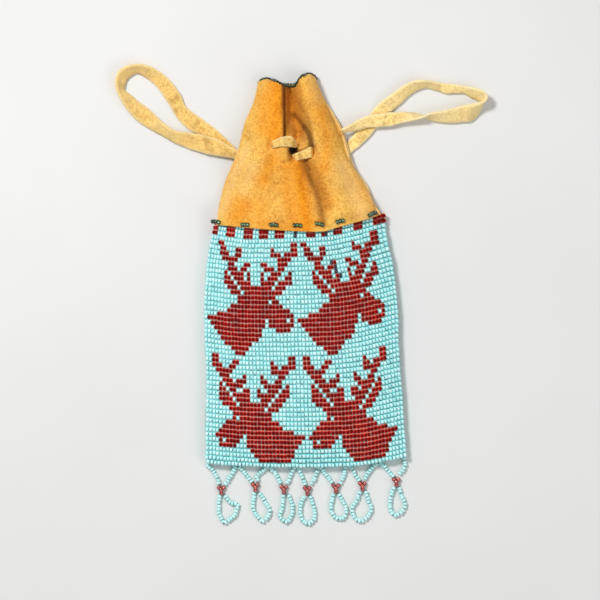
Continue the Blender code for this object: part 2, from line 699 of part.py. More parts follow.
def make_mouth_edging(green):
    """A row of small dark beads all round the rim, as one closed string."""
    radius = EDGING_DIAMETER / 2
    front, back = [], []
    for i in range(41):
        place = -1 + 2 * i / 40
        x, y = leather_place(place, 1)
        beyond = rim_offset(place, radius)
        middle = (leather_front_under(x, y) + leather_front_over(x, y)) / 2
        front.append(Vector((middle.x, middle.y + beyond, middle.z)))
        x, y = leather_place(place, 1, LEATHER_THICKNESS)
        back.append(Vector((x, y + beyond, curl(x, y) + max(LEATHER_THICKNESS / 2, radius))))
    front[0].z = max(front[0].z, back[0].z + EDGING_DIAMETER)
    front[-1].z = max(front[-1].z, back[-1].z + EDGING_DIAMETER)
    line = front + back[::-1] + front[:1]
    points = string_points(line, EDGING_PITCH)[:-1]
    rings = []
    for i, point in enumerate(points):
        ahead = (points[(i + 1) % len(points)] - points[i - 1]).normalized()
        above = Vector((0, 1, 0))
        beside = ahead.cross(above).normalized()
        above = beside.cross(ahead)
        full = radius * (1.0 if i % 2 else BEAD_END_SHARE)
        turn = [2 * math.pi * k / BEAD_SIDES for k in range(BEAD_SIDES)]
        rings.append([point + full * (math.cos(a) * beside + math.sin(a) * above) for a in turn])
    add_object("mouth_edging", lambda made: ring_loop(made, rings), green)


def drop_points(foot, outline):
    """A drop of strung beads: down one side, round the bottom and up the other."""
    return [Vector((foot.x + PIXEL * x, foot.y - PIXEL * y, BEAD_RADIUS)) for x, y in outline]


def bottom_at(x):
    return bottom_edge(across_with_wall(x, Y_BOTTOM, 0))


def hang_line(left, middle, right):
    """The straight line that a pendant hangs from, just under the bottom row: its slope and middle y."""
    slope = (bottom_at(right) - bottom_at(left)) / (right - left)
    reach = right - left + 2 * BEAD_DIAMETER
    spots = [left - BEAD_DIAMETER + reach * i / 24 for i in range(25)]
    return slope, min(bottom_at(spot) - slope * (spot - middle) for spot in spots) - CLEARANCE / 2


def make_fringe(blue, red):
    """Seven pendants: two strands, a red knot and a drop. Each turns up at the pouch's bottom row."""
    for number, (left, middle, right, fall) in enumerate(FRINGE_SHARES, 1):
        left_x, knot_x, right_x = (HALF_WIDTH * share for share in (left, middle, right))
        slope, row_y = hang_line(left_x, knot_x, right_x)
        knot_top = row_y - fall * BEAD_DIAMETER
        hinge = pivot(f"fringe_{number}_hinge", Vector((knot_x, row_y - CLEARANCE / 2, BEAD_DIAMETER)))
        for word, x, sign in (("left", left_x, -1), ("right", right_x, 1)):
            top = Vector((x, row_y + slope * (x - knot_x) - CLEARANCE, BEAD_RADIUS))
            foot = Vector((knot_x + sign * STRAND_SPREAD, knot_top, BEAD_RADIUS))
            belly = top.lerp(foot, 0.5) + Vector((sign * BEAD_RADIUS / 3, -BEAD_RADIUS / 4, 0))
            rings = bead_rings(string_points([top, belly, foot], STRUNG_PITCH), BEAD_DIAMETER)
            add_object(f"fringe_{number}_{word}_strand", lambda made, rings=rings: tube(made, rings),
                       blue, origin=world_place(hinge), parent=hinge)
        knot_end = knot_top - CLEARANCE - KNOT_BEADS * STRUNG_PITCH
        knot = [Vector((knot_x, knot_top - CLEARANCE, BEAD_RADIUS)), Vector((knot_x, knot_end, BEAD_RADIUS))]
        rings = bead_rings(string_points(knot, STRUNG_PITCH), BEAD_DIAMETER)
        add_object(f"fringe_{number}_knot", lambda made, rings=rings: tube(made, rings),
                   red, origin=world_place(hinge), parent=hinge)
        foot = Vector((knot_x, knot_end, BEAD_RADIUS))
        turn = pivot(f"drop_{number}_hinge", Vector((knot_x, knot_end - CLEARANCE / 2, BEAD_DIAMETER)), hinge)
        line = drop_points(foot, DROP_PIXELS[number - 1])
        rings = bead_rings(string_points(line, STRUNG_PITCH), BEAD_DIAMETER)
        add_object(f"drop_{number}", lambda made, rings=rings: tube(made, rings),
                   blue, origin=world_place(turn), parent=turn)


def main():
    clear_scene()
    blue = material("turquoise_glass", (0.30, 0.72, 0.74), 0.25)
    red = material("brick_red_glass", (0.30, 0.035, 0.03), 0.2)
    green = material("dark_green_glass", (0.01, 0.07, 0.045), 0.15)
    tan = material("smoked_leather", (0.76, 0.42, 0.12), 0.9)
    pale = material("pale_leather", (0.78, 0.60, 0.34), 0.9)
    make_beaded_sheets(blue)
    make_leather(tan)
    make_front_stitch("drawstring_left_stitch", STITCH_LEFT_SHARES, pale)
    make_front_stitch("drawstring_right_stitch", STITCH_RIGHT_SHARES, pale)
    make_drawstring("drawstring_left", LEFT_ROUTE, pale)
    make_drawstring("drawstring_right", RIGHT_ROUTE, pale)
    make_hem_stitches(green)
    make_mouth_edging(green)
    make_fringe(blue, red)


main()
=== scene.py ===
# %% [markdown]
# # A beaded drawstring bag
#
# The bag lies on its back, seen from straight above. Its pouch is two sheets of loomed glass beads, its
# neck is soft ochre suede gathered by two pale thongs, and seven beaded drops hang from its bottom row.
# The solid model gives every piece its place, and this script gives each one its real surface.

import math

import bpy
import numpy as np
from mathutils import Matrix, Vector
from mathutils.bvhtree import BVHTree


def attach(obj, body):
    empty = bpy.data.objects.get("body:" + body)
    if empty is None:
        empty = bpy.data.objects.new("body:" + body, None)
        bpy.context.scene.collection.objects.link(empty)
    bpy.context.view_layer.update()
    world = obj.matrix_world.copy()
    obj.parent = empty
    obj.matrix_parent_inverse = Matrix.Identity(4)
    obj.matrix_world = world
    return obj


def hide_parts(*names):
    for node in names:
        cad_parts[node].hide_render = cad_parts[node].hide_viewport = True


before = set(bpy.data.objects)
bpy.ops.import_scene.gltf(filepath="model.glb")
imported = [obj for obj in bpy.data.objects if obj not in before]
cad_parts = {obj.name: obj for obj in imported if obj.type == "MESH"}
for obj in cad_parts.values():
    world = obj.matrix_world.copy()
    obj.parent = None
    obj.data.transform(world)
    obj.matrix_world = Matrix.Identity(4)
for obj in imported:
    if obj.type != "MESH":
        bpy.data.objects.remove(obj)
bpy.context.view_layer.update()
print("solid nodes:", len(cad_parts))

# %% [markdown]
# ## Measures
#
# The beads set the scale: a bead is 2.1 mm across, and a row of the pouch is one bead high. The pouch's 50
# rows fill 233 pixels of the photograph, so places read off it become metres with one factor. Points on
# the bag are measured from the middle of the pouch, with +Y towards the mouth.

# %% Sizes of the beads and the pouch
MM = 0.001
BEAD_WIDTH = 2.1 * MM
BEAD_RADIUS = BEAD_WIDTH / 2
COLUMN_PITCH = 1.56 * MM
STRUNG_PITCH = 1.38 * MM
ROW_PITCH = 2.1 * MM
COLUMNS = 56
ROWS = 50
# The solid sheet has two more rows under the leather. A closer count gave 51 rows in view, so the leather
# ends a little higher here.
HIDDEN_ROWS = 2
SHOWN_ROWS = 51
POUCH_LENGTH = ROWS * ROW_PITCH
HALF_WIDTH = COLUMNS * COLUMN_PITCH / 2
Y_BOTTOM = -POUCH_LENGTH / 2
Y_HEM = POUCH_LENGTH / 2
NECK_LENGTH = 68.4 * MM
LEATHER = 1.2 * MM
POUCH_PIXELS = 233
PIXEL = POUCH_LENGTH / POUCH_PIXELS
MIDDLE_PIXEL = (304.5, 348.5)


def at_pixel(px, py):
    """A place in the photograph as x and y on the bag."""
    return (px - MIDDLE_PIXEL[0]) * PIXEL, (MIDDLE_PIXEL[1] - py) * PIXEL


print("one pixel is", round(PIXEL / MM, 3), "mm")

# %% [markdown]
# ## Smooth curves
#
# Outlines and cords are short lists of points. A cubic curve through them gives every place in between, so
# each list has only the points that its shape needs.

# %% Curves through a few points
def mix(a, b, share):
    return a + (b - a) * share


def ease(share):
    """0 below 0, 1 above 1 and smooth between. It takes numbers or arrays."""
    share = np.clip(share, 0.0, 1.0)
    return share * share * (3 - 2 * share)


def follow(stations, place):
    """The value at a place on a smooth curve through (place, value) stations."""
    if place <= stations[0][0]:
        return stations[0][1]
    if place >= stations[-1][0]:
        return stations[-1][1]
    last = len(stations) - 1
    k = next(i for i in range(last) if place <= stations[i + 1][0])

    def slope(i):
        before, after = stations[max(i - 1, 0)], stations[min(i + 1, last)]
        return (after[1] - before[1]) / (after[0] - before[0])

    (a, start), (b, end) = stations[k], stations[k + 1]
    t = (place - a) / (b - a)
    rise, lead, trail = t * t * (3 - 2 * t), t * (1 - t) ** 2, t * t * (t - 1)
    return mix(start, end, rise) + (b - a) * (lead * slope(k) + trail * slope(k + 1))


def smooth_line(points, step):
    """Rows of numbers about a step apart on a smooth curve through the given ones."""
    reach = [0.0]
    for a, b in zip(points, points[1:]):
        reach.append(reach[-1] + math.dist(a[:2], b[:2]))
    count = max(2, round(reach[-1] / step))
    tracks = [tuple(zip(reach, values)) for values in zip(*points)]
    return np.array([[follow(track, reach[-1] * i / count) for track in tracks] for i in range(count + 1)])


def unit(vectors):
    return vectors / np.linalg.norm(vectors, axis=-1, keepdims=True)


# A line is cut into this many parts to a pitch, and a direction looks this share of a pitch ahead and back.
FINE_PARTS = 12
LOOK_SHARE = 0.3


def evenly(points, pitch):
    """Points one pitch apart along a polyline, at the middle of each bead, and the directions there."""
    fine = smooth_line([tuple(p) for p in np.asarray(points, float)], pitch / FINE_PARTS)
    steps = np.linalg.norm(np.diff(fine, axis=0), axis=1)
    reach = np.concatenate([[0], np.cumsum(steps)])
    count = max(1, round(reach[-1] / pitch))
    wanted = (np.arange(count) + 0.5) * reach[-1] / count
    look = reach[-1] / count * LOOK_SHARE

    def at(places):
        return np.column_stack([np.interp(places, reach, fine[:, i]) for i in range(3)])

    return at(wanted), unit(at(wanted + look) - at(wanted - look))


print("curve check:", round(follow(((0, 0), (1, 1), (2, 0)), 0.5), 3))

# %% [markdown]
# ## The pouch's outline
#
# The sheet isn't a rectangle. It narrows towards the hem, its top and bottom rows sag and tilt, and its
# rows follow them. Each side is a curve of shares of half the pouch's width, and each edge is a curve of
# shares of a row. A bead's place is then its column and row, spread between these four curves.

# %% The four edges of the pouch and the neck
POUCH_LEFT_SHARES = (
    (0.0, -0.993), (0.04, -1.022), (0.4, -1.02), (0.66, -1.04), (0.87, -1.009), (1.0, -0.954),
)
POUCH_RIGHT_SHARES = (
    (0.0, 1.03), (0.04, 1.049), (0.28, 1.017), (0.5, 0.979), (0.7, 0.962), (0.88, 0.908), (1.0, 0.83),
)
# The sheet's right side goes on under the leather, where the neck has already begun to narrow.
SHEET_RIGHT_SHARES = (*POUCH_RIGHT_SHARES[:-1], (0.95, 0.866), (1.0, 0.846), (1.07, 0.832))
NECK_LEFT_SHARES = (
    (0.0, -0.954), (0.07, -0.928), (0.15, -0.893), (0.33, -0.82), (0.52, -0.694), (0.72, -0.616),
    (0.85, -0.528), (1.0, -0.474),
)
NECK_RIGHT_SHARES = (
    (0.0, 0.83), (0.07, 0.795), (0.15, 0.73), (0.3, 0.63), (0.42, 0.504), (0.53, 0.44), (0.6, 0.41),
    (0.67, 0.375), (0.73, 0.325), (0.86, 0.212), (1.0, 0.119),
)
BOTTOM_EDGE_SHARES = ((-1.0, 0.3), (-0.6, -0.4), (0.0, -0.65), (0.5, -0.3), (0.8, 0.75), (1.0, 1.7))
HEM_EDGE_SHARES = ((-1.0, 0.5), (-0.6, -0.6), (0.0, -0.4), (0.35, 0.1), (0.7, 1.6), (1.0, 3.2))
# The leather's own hem wanders, and most of it lies half a row or more above the hem line of the sheets.
LEATHER_HEM_SHARES = (
    (-1.0, 1.5), (-0.64, 0.8), (-0.42, 0.45), (-0.15, 0.1), (0.25, 0.0), (0.42, 0.8), (0.6, 1.65),
    (0.85, 2.85), (1.0, 3.7),
)
RIM_EDGE_SHARES = (
    (-1.0, -0.014), (-0.88, -0.001), (-0.7, 0.006), (-0.57, 0.0), (-0.43, -0.012), (-0.29, -0.028),
    (-0.15, -0.041), (0.0, -0.048), (0.16, -0.047), (0.3, -0.034), (0.41, -0.004), (0.55, 0.022),
    (0.68, 0.036), (0.82, 0.036), (0.94, 0.022), (1.0, 0.011),
)


def bottom_edge(place):
    return Y_BOTTOM + ROW_PITCH * follow(BOTTOM_EDGE_SHARES, place)


def hem_edge(place):
    return Y_HEM + ROW_PITCH * follow(HEM_EDGE_SHARES, place)


def leather_hem(place):
    return Y_HEM + ROW_PITCH * follow(LEATHER_HEM_SHARES, place)


def rim_edge(place):
    return Y_HEM + NECK_LENGTH * (1 + follow(RIM_EDGE_SHARES, place))


def side(y, pouch_shares, neck_shares):
    if y < Y_HEM:
        return HALF_WIDTH * follow(pouch_shares, (y - Y_BOTTOM) / POUCH_LENGTH)
    return HALF_WIDTH * follow(neck_shares, (y - Y_HEM) / NECK_LENGTH)


def left_side(y):
    return side(y, POUCH_LEFT_SHARES, NECK_LEFT_SHARES)


def right_side(y):
    return side(y, POUCH_RIGHT_SHARES, NECK_RIGHT_SHARES)


print("pouch width at its bottom:", round((right_side(Y_BOTTOM) - left_side(Y_BOTTOM)) / MM, 1), "mm")

# %% [markdown]
# ## Reading heights off the solid model
#
# Each surface has to lie where its solid lies, so a vertical ray is dropped on the solid at every place
# that needs a height. The solids have flat faces, so a grid of heights is smoothed before it is used.

# %% Heights of a solid under a grid of places
# A ray starts this many metres above or below the bag.
RAY_START = 0.1


def solid_tree(node):
    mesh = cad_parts[node].data
    return BVHTree.FromPolygons([v.co for v in mesh.vertices], [p.vertices for p in mesh.polygons])


def height_on(tree, x, y, down=True):
    """The solid's highest surface at a place, or its lowest; beside the solid, that of the nearest point."""
    start, way = (RAY_START, -1.0) if down else (-RAY_START, 1.0)
    hit = tree.ray_cast(Vector((x, y, start)), Vector((0, 0, way)))[0]
    return hit.z if hit else tree.find_nearest(Vector((x, y, BEAD_RADIUS)))[0].z


def lay_on(tree, grid, down=True):
    """Gives each place of a grid its height on a solid."""
    for place in grid.reshape(-1, 3):
        place[2] = height_on(tree, place[0], place[1], down)


def smoothed(grid, passes):
    """A grid of numbers, averaged with its neighbours; its border keeps its own slope."""
    for _ in range(passes):
        padded = np.pad(grid, 1, mode="reflect", reflect_type="odd")
        across = (padded[1:-1, :-2] + padded[1:-1, 2:]) / 2
        along = (padded[:-2, 1:-1] + padded[2:, 1:-1]) / 2
        grid = grid / 2 + (across + along) / 4
    return grid


def grid_normals(points):
    """Outward directions of a rows by columns grid of points, with +Z up."""
    rows, columns = np.gradient(points, axis=0), np.gradient(points, axis=1)
    normals = unit(np.cross(columns, rows))
    return normals * np.where(normals[..., 2:] < 0, -1, 1)


front_tree = solid_tree("beaded_front")
back_tree = solid_tree("beaded_back")
print("top of the pouch:", round(height_on(front_tree, 0, 0) / MM, 2), "mm")

# %% [markdown]
# ## Finishes
#
# Glass beads are small lenses. An opaque one is evenly bright with a sharp highlight. A translucent one is
# dark where its bore shows through and glows at the sides where light leaves it. Here these highlights and
# glows, the dark bores and the shade between beads are painted into the colour. The mesh stores two
# numbers on each point for this, how far round the bead it lies from the top and how near the bead's end,
# and a third for the bead itself, so that no two are quite alike.

# %% Material helpers
def new_material(name):
    made = bpy.data.materials.new(name)
    made.use_nodes = True
    nodes = made.node_tree.nodes
    return made, nodes, made.node_tree.links, nodes["Principled BSDF"]


def set_inputs(node, values):
    for name, value in values.items():
        node.inputs[name].default_value = value


def ramped(nodes, links, source, stops):
    """The colour that a number becomes between (place, colour) stops."""
    ramp = nodes.new("ShaderNodeValToRGB")
    elements = ramp.color_ramp.elements
    while len(elements) < len(stops):
        elements.new(0.5)
    for element, (place, colour) in zip(elements, stops):
        element.position = place
        element.color = (*colour, 1)
    links.new(source, ramp.inputs["Fac"])
    return ramp.outputs["Color"]


def stored_number(nodes, name):
    """Reads a number that the mesh stores on its points."""
    reader = nodes.new("ShaderNodeAttribute")
    reader.attribute_name = name
    return reader.outputs["Fac"]


def combine(nodes, links, blend, factor, first, second):
    """Blends two colours; each input is a socket or a plain value."""
    made = nodes.new("ShaderNodeMix")
    made.data_type = "RGBA"
    made.blend_type = blend
    for socket, value in ((made.inputs[0], factor), (made.inputs[6], first), (made.inputs[7], second)):
        if isinstance(value, bpy.types.NodeSocket):
            links.new(value, socket)
        else:
            socket.default_value = value
    return made.outputs[2]


def noise(nodes, links, scale, detail=3.0, roughness=0.55):
    """Noise in the bag's own space, with a scale in spots to the metre."""
    made = nodes.new("ShaderNodeTexNoise")
    set_inputs(made, {"Scale": scale, "Detail": detail, "Roughness": roughness})
    links.new(nodes.new("ShaderNodeTexCoord").outputs["Object"], made.inputs["Vector"])
    return made.outputs["Fac"]


def two_tone(name, scale, first, second, roughness):
    """A plain material whose colour wanders between two."""
    made, nodes, links, shader = new_material(name)
    links.new(ramped(nodes, links, noise(nodes, links, scale), ((0.3, first), (0.7, second))),
              shader.inputs["Base Color"])
    set_inputs(shader, {"Roughness": roughness})
    return made


def bead_glass(name, top, flank, end, tints, line=(0.70, 0.90), roughness=0.16, gloss=1.0):
    """Glass for beads with light and shade painted in: a colour for its top, its flanks and its ends, times
    each bead's own tint.
    """
    made, nodes, links, shader = new_material(name)
    over = ramped(nodes, links, stored_number(nodes, "end"), ((0.1, top), (0.95, end)))
    stops = ((line[0], (0, 0, 0)), (line[1], (1, 1, 1)))
    beside = ramped(nodes, links, stored_number(nodes, "flank"), stops)
    body = combine(nodes, links, "MIX", beside, over, (*flank, 1))
    stops = tuple((i / (len(tints) - 1), tint) for i, tint in enumerate(tints))
    tinted = ramped(nodes, links, stored_number(nodes, "bead"), stops)
    links.new(combine(nodes, links, "MULTIPLY", 1.0, body, tinted), shader.inputs["Base Color"])
    set_inputs(shader, {
        "Roughness": roughness, "IOR": 1.52, "Specular IOR Level": 0.5 * gloss, "Subsurface Weight": 0.3,
        "Subsurface Radius": (1.0, 1.0, 1.0), "Subsurface Scale": 0.4 * MM, "Coat Weight": 0.4 * gloss,
        "Coat Roughness": 0.08,
    })
    return made


# %% The glass of the beads
# The line is where, round a bead, its top's colour gives way to that of its flanks. All three colours are
# painted light and shade. The oxblood and plum beads have a painted dark bore on top and painted glowing
# flanks. The others have a painted highlight on top and painted shade on their flanks. At the ends, every
# bead has a painted tone for where its neighbours meet.
turquoise = bead_glass(
    "turquoise_glass", top=(0.60, 0.97, 0.97), flank=(0.28, 0.85, 0.87), end=(0.11, 0.50, 0.51),
    tints=((0.72, 0.86, 0.88), (1, 1, 1), (1.2, 1.06, 1.05), (0.86, 0.98, 1.0), (1.05, 1.0, 1.0)),
    line=(0.55, 0.85))
aqua = bead_glass(
    "pale_aqua_glass", top=(0.62, 0.96, 0.95), flank=(0.36, 0.82, 0.82), end=(0.24, 0.66, 0.66),
    tints=((0.88, 0.95, 0.95), (1, 1, 1), (1.1, 1.04, 1.03)))
brick = bead_glass(
    "oxblood_glass", top=(0.15, 0.001, 0.001), flank=(1.0, 0.24, 0.17), end=(0.6, 0.025, 0.02),
    tints=((0.75, 0.75, 0.75), (1, 1, 1), (1.3, 1.2, 1.15)), line=(0.64, 0.86), roughness=0.3, gloss=0.1)
plum = bead_glass(
    "plum_glass", top=(0.03, 0.012, 0.03), flank=(0.10, 0.04, 0.10), end=(0.05, 0.02, 0.05),
    tints=((0.9, 0.9, 0.9), (1.1, 1.1, 1.1)))
knot_red = bead_glass(
    "knot_red_glass", top=(0.66, 0.13, 0.11), flank=(0.20, 0.007, 0.006), end=(0.26, 0.012, 0.010),
    tints=((0.8, 0.8, 0.8), (1, 1, 1), (1.2, 1.2, 1.2)), line=(0.3, 0.62), gloss=1.4)
bottle = bead_glass(
    "bottle_green_glass", top=(0.10, 0.19, 0.09), flank=(0.005, 0.024, 0.012), end=(0.010, 0.040, 0.021),
    tints=((0.5, 0.6, 0.5), (1.0, 1.0, 1.0), (1.9, 1.7, 1.4)), line=(0.25, 0.52), roughness=0.1)
print("glass finishes:", 6)

# %% [markdown]
# ## How a bead is made
#
# A seed bead is a short piece of glass tube, softened until its ends are round. Each one here is a few
# rings of points round its thread: narrow at the bore, full by a quarter of its length, and narrow again.
# Thousands of beads are made at once with arrays, and joined in one mesh for each colour and face.

# %% A mesh of many beads
# Each ring has its place along the bore, its share of the radius, and how far it counts as the bead's end.
BEAD_RINGS = (
    (-0.5, 0.5, 1.0), (-0.47, 0.78, 0.9), (-0.28, 0.97, 0.15), (0.0, 1.0, 0.0), (0.28, 0.97, 0.15),
    (0.47, 0.78, 0.9), (0.5, 0.5, 1.0),
)
# The beads under the bag do without the middle ring.
BACK_RINGS = tuple(ring for ring in BEAD_RINGS if ring[0] != 0)
# The sides of a bead on a string. Those of the two sheets have fewer.
STRING_SIDES = 10
# No two beads are alike: how far a bore tips, and the least and most of a bead's width and length.
BEAD_TILT = 0.06
WIDTH_SHARES = (0.94, 1.0)
LENGTH_SHARES = (0.90, 1.04)
rng = np.random.default_rng(7)


def add_piece(name, points, faces, finish, numbers=None, smooth=True):
    """A mesh object with its points in the bag's own space, and its stored numbers."""
    mesh = bpy.data.meshes.new(name)
    mesh.from_pydata(np.asarray(points).reshape(-1, 3).tolist(), [], faces)
    mesh.update()
    for number_name, values in (numbers or {}).items():
        store = mesh.attributes.new(number_name, "FLOAT", "POINT")
        store.data.foreach_set("value", np.asarray(values, dtype=np.float32).ravel())
    if smooth:
        mesh.shade_smooth()
    mesh.materials.append(finish)
    made = bpy.data.objects.new(name, mesh)
    bpy.context.scene.collection.objects.link(made)
    return made


def strand_faces(rings, sides, base=0):
    """Faces of a closed tube of that many rings, counted from a first point."""
    faces = [[base + i for i in range(sides)][::-1]]
    for r in range(rings - 1):
        low = base + r * sides
        faces += [[low + i, low + (i + 1) % sides, low + sides + (i + 1) % sides, low + sides + i]
                  for i in range(sides)]
    faces.append([base + (rings - 1) * sides + i for i in range(sides)])
    return faces


def beads(name, middles, alongs, ups, finish, width=BEAD_WIDTH, length=STRUNG_PITCH,
          sides=STRING_SIDES, fill=0.95, shape=BEAD_RINGS):
    """Beads at the given middles, each with its bore along its own direction, give or take a few degrees."""
    middles, alongs = np.asarray(middles, float), unit(np.asarray(alongs, float))
    alongs = unit(alongs + rng.normal(0, BEAD_TILT, middles.shape))
    besides = unit(np.cross(alongs, np.broadcast_to(ups, middles.shape)))
    ups = np.cross(besides, alongs)
    count = len(middles)
    radius = width / 2 * rng.uniform(*WIDTH_SHARES, count)
    long = length * fill * rng.uniform(*LENGTH_SHARES, count)
    turn = (np.arange(sides) + 0.5) * 2 * np.pi / sides
    spokes = (np.cos(turn)[None, :, None] * besides[:, None, :]
              + np.sin(turn)[None, :, None] * ups[:, None, :])
    rings = []
    for place, share, _ in shape:
        middle = middles + alongs * (long * place)[:, None]
        rings.append(middle[:, None, :] + spokes * (radius * share)[:, None, None])
    faces = []
    for k in range(count):
        faces += strand_faces(len(shape), sides, k * len(shape) * sides)
    size = (count, len(shape), sides)
    numbers = {"flank": np.broadcast_to(np.abs(np.cos(turn))[None, None, :], size),
               "end": np.broadcast_to(np.array([end for _, _, end in shape])[None, :, None], size),
               "bead": np.broadcast_to(rng.random(count)[:, None, None], size)}
    return add_piece(name, np.stack(rings, axis=1), faces, finish, numbers)


# %% [markdown]
# ## The beadwork's figures
#
# Four stag heads stand on the pouch, a common folk figure. One head is drawn once, in bead units on a grid
# of 27 by 26, as outlines for the head and ears and as thick lines for the antlers. A bead is red where its
# middle lies in an outline or near a line. The upper pair faces right and the lower pair is mirrored.

# %% One stag head in bead units
FIGURE_WIDTH, FIGURE_HEIGHT = 27, 26
HEAD_OUTLINE = (
    (11.1, 9.9), (16.2, 9.7), (19, 9.5), (19.9, 10.7), (20.6, 11.8), (20.2, 12.4), (20.5, 13), (21.6, 13.6),
    (22.4, 14.4), (23.7, 15.2), (24.4, 16), (25.1, 17.1), (25.4, 17.9), (25, 18.7), (24.2, 19.4), (22.6, 20),
    (20.7, 20), (19.8, 19.1), (18.9, 19), (18.2, 18), (18.1, 17.2), (17.2, 17.2), (17.1, 18.1), (16.7, 18.9),
    (16.1, 19.9), (14.9, 21.3), (13.4, 22.2), (12.4, 23), (11.4, 24), (10.9, 25), (10.5, 26), (9.6, 26),
    (8.6, 25), (7.3, 24), (6.1, 22.9), (5.1, 22.2), (4.3, 21.4), (3.3, 20.3), (2.7, 19.7), (1.5, 18.7),
    (0.8, 17.9), (0.4, 17.3), (1.2, 16.8), (3.6, 16.6), (4.9, 16), (6.6, 15.4), (7.4, 14.8), (8.2, 14),
    (9.2, 13.4), (9.7, 12.4), (9.9, 10.9),
)
NECK_SIDE_EAR = (
    (5.9, 6.1), (5, 6.2), (4.9, 8.9), (5.5, 9.5), (6.2, 10.1), (6.7, 10.9), (8.1, 11.5), (8.4, 11.9),
    (9.7, 12.4), (10.3, 11.4), (9.9, 10.3), (9.3, 9.4), (8.8, 8.3), (8.1, 7.8), (6.8, 7.3), (6.2, 7.2),
)
NOSE_SIDE_EAR = (
    (24.9, 6.2), (24.2, 6.2), (24, 7.1), (22.4, 7.2), (22, 8.1), (21.1, 9), (20.5, 9.1), (19.7, 10.2),
    (19.1, 10.8), (20.6, 11.9), (21.3, 11.3), (22.9, 10.9), (23.6, 10.3), (24.1, 9.4), (25.1, 9),
)
# Each line of an antler has its points and half its thickness.
ANTLER_LINES = (
    (((3.6, 0.5), (4, 1.8), (5, 2.5), (6.6, 4), (7.9, 5.9), (8.8, 6.7), (9.7, 7.5), (11.6, 9.6),
      (12.4, 10.2)), 1.0),
    (((9.4, 1.4), (9.2, 2.5), (8, 3.5), (6.8, 4.1)), 0.8),
    (((12.1, 4.3), (11.8, 5.3), (10.9, 6.3), (9.6, 6.9)), 0.75),
    (((12.8, 7.3), (12.8, 8.3), (12.5, 9.7)), 0.6),
    (((26, 0.5), (26.2, 1.8), (25.4, 2.5), (23.2, 4.1), (21.8, 6.1), (19.6, 8.4), (18.5, 9.3),
      (18, 10.3)), 1.0),
    (((19.9, 1.4), (20.2, 2.4), (21.4, 2.9), (23, 4.2)), 0.8),
    (((17.3, 4.4), (17.8, 5.1), (19, 6), (20.8, 7.1)), 0.75),
    (((16.7, 7.3), (16.7, 8.2), (16.7, 9.6)), 0.6),
)
# Single pale beads: the lines that part the ears from the head, the eye and the nostril.
PALE_SPOTS = (
    (7.1, 7.1), (8.1, 7.9), (9.1, 8.9), (10.2, 10.0), (10.9, 11.0), (22.7, 7.4), (21.3, 8.4), (20.3, 9.3),
    (19.3, 10.4), (18.8, 13.5), (23.3, 17.9),
)


def inside(outline, x, y):
    odd = False
    for (ax, ay), (bx, by) in zip(outline, outline[1:] + outline[:1]):
        if (ay > y) != (by > y) and x < ax + (y - ay) / (by - ay) * (bx - ax):
            odd = not odd
    return odd


def near_line(points, reach, x, y):
    for (ax, ay), (bx, by) in zip(points, points[1:]):
        span = (bx - ax) ** 2 + (by - ay) ** 2
        share = min(max(((x - ax) * (bx - ax) + (y - ay) * (by - ay)) / span, 0), 1)
        if math.hypot(x - mix(ax, bx, share), y - mix(ay, by, share)) < reach:
            return True
    return False


def in_stag(x, y):
    """Whether a place on the figure's own grid is red."""
    if any(abs(x - a) < 0.5 and abs(y - b) < 0.5 for a, b in PALE_SPOTS):
        return False
    if any(inside(outline, x, y) for outline in (HEAD_OUTLINE, NECK_SIDE_EAR, NOSE_SIDE_EAR)):
        return True
    return any(near_line(points, reach, x, y) for points, reach in ANTLER_LINES)


for row in range(FIGURE_HEIGHT):
    print("".join("#" if in_stag(column + 0.5, row + 0.5) else "." for column in range(FIGURE_WIDTH)))

# %% The colour of each bead on the front
# Each pair of heads has its first and last row, and (row from the hem, height on the figure) stations,
# because the upper heads are a little shorter. Each head starts at a column and faces right (1) or
# left (-1).
STAG_PAIRS = (
    (3, 27, ((3.6, 0.5), (8.9, 6.1), (19.4, 17.6), (22.2, 20), (27.7, 26)), ((0.75, 1), (26.75, 1))),
    (27, 50, ((27.6, 0.5), (33.3, 6.1), (44.5, 17.4), (47.2, 20), (50.4, 23)), ((28.7, -1), (54.7, -1))),
)
# The border's squares, each with its first column and its width.
BORDER_SQUARES = ((0, 2), (5, 3), (11, 3), (16, 3), (21, 3), (31, 3), (36, 2), (40, 3), (47, 3), (53, 3))
BORDER_ROWS = 2
# A few beads are nearly black, by column and row.
PLUM_BEADS = {(27, 0), (27, 1), (37, 1), (38, 7), (39, 8), (39, 9), (40, 10)}


def in_border(column, row):
    return row < BORDER_ROWS and any(first <= column < first + width for first, width in BORDER_SQUARES)


def bead_colour(column, row):
    """The colour of the bead in a column from the left and a row from the hem."""
    if (column, row) in PLUM_BEADS:
        return "plum"
    if in_border(column, row):
        return "brick"
    for first, last, stations, heads in STAG_PAIRS:
        if first <= row < last:
            height = follow(stations, row + 0.5)
            if any(in_stag((column + 0.5 - tip) * facing, height) for tip, facing in heads):
                return "brick"
    return "turquoise"


reds = sum(bead_colour(column, row) == "brick" for column in range(COLUMNS) for row in range(SHOWN_ROWS))
print("red beads on the front:", reds)

# %% [markdown]
# ## The two beaded sheets
#
# On a loom the warp threads run the pouch's length, and each row of beads sits across them on its own
# thread. So the bores run across the pouch and the rows lie a bead's width apart. Each bead rests in its
# solid sheet's thickness, a little uneven, as hand work is. Near the hem the fold in the neck pulls the
# columns to the left, and each bead is as long as its own column there.

# %% Places of the beads
# How many columns the beads lean at the hem, with less than 0 to the left, and the shares of the pouch's
# length where the lean starts and over which it grows.
LEAN_COLUMNS = ((-1.0, 0.0), (-0.85, -0.3), (0.0, -0.6), (0.3, -1.2), (0.8, -1.9), (1.0, 0.0))
LEAN_START, LEAN_RUN = 0.66, 0.2
# The columns stand closer at the sheet's rounded sides than in its middle.
SPREAD = 0.55 * MM
# The rows are pressed against each other, so a bead is a little wider than its row.
SNUG = 1.04
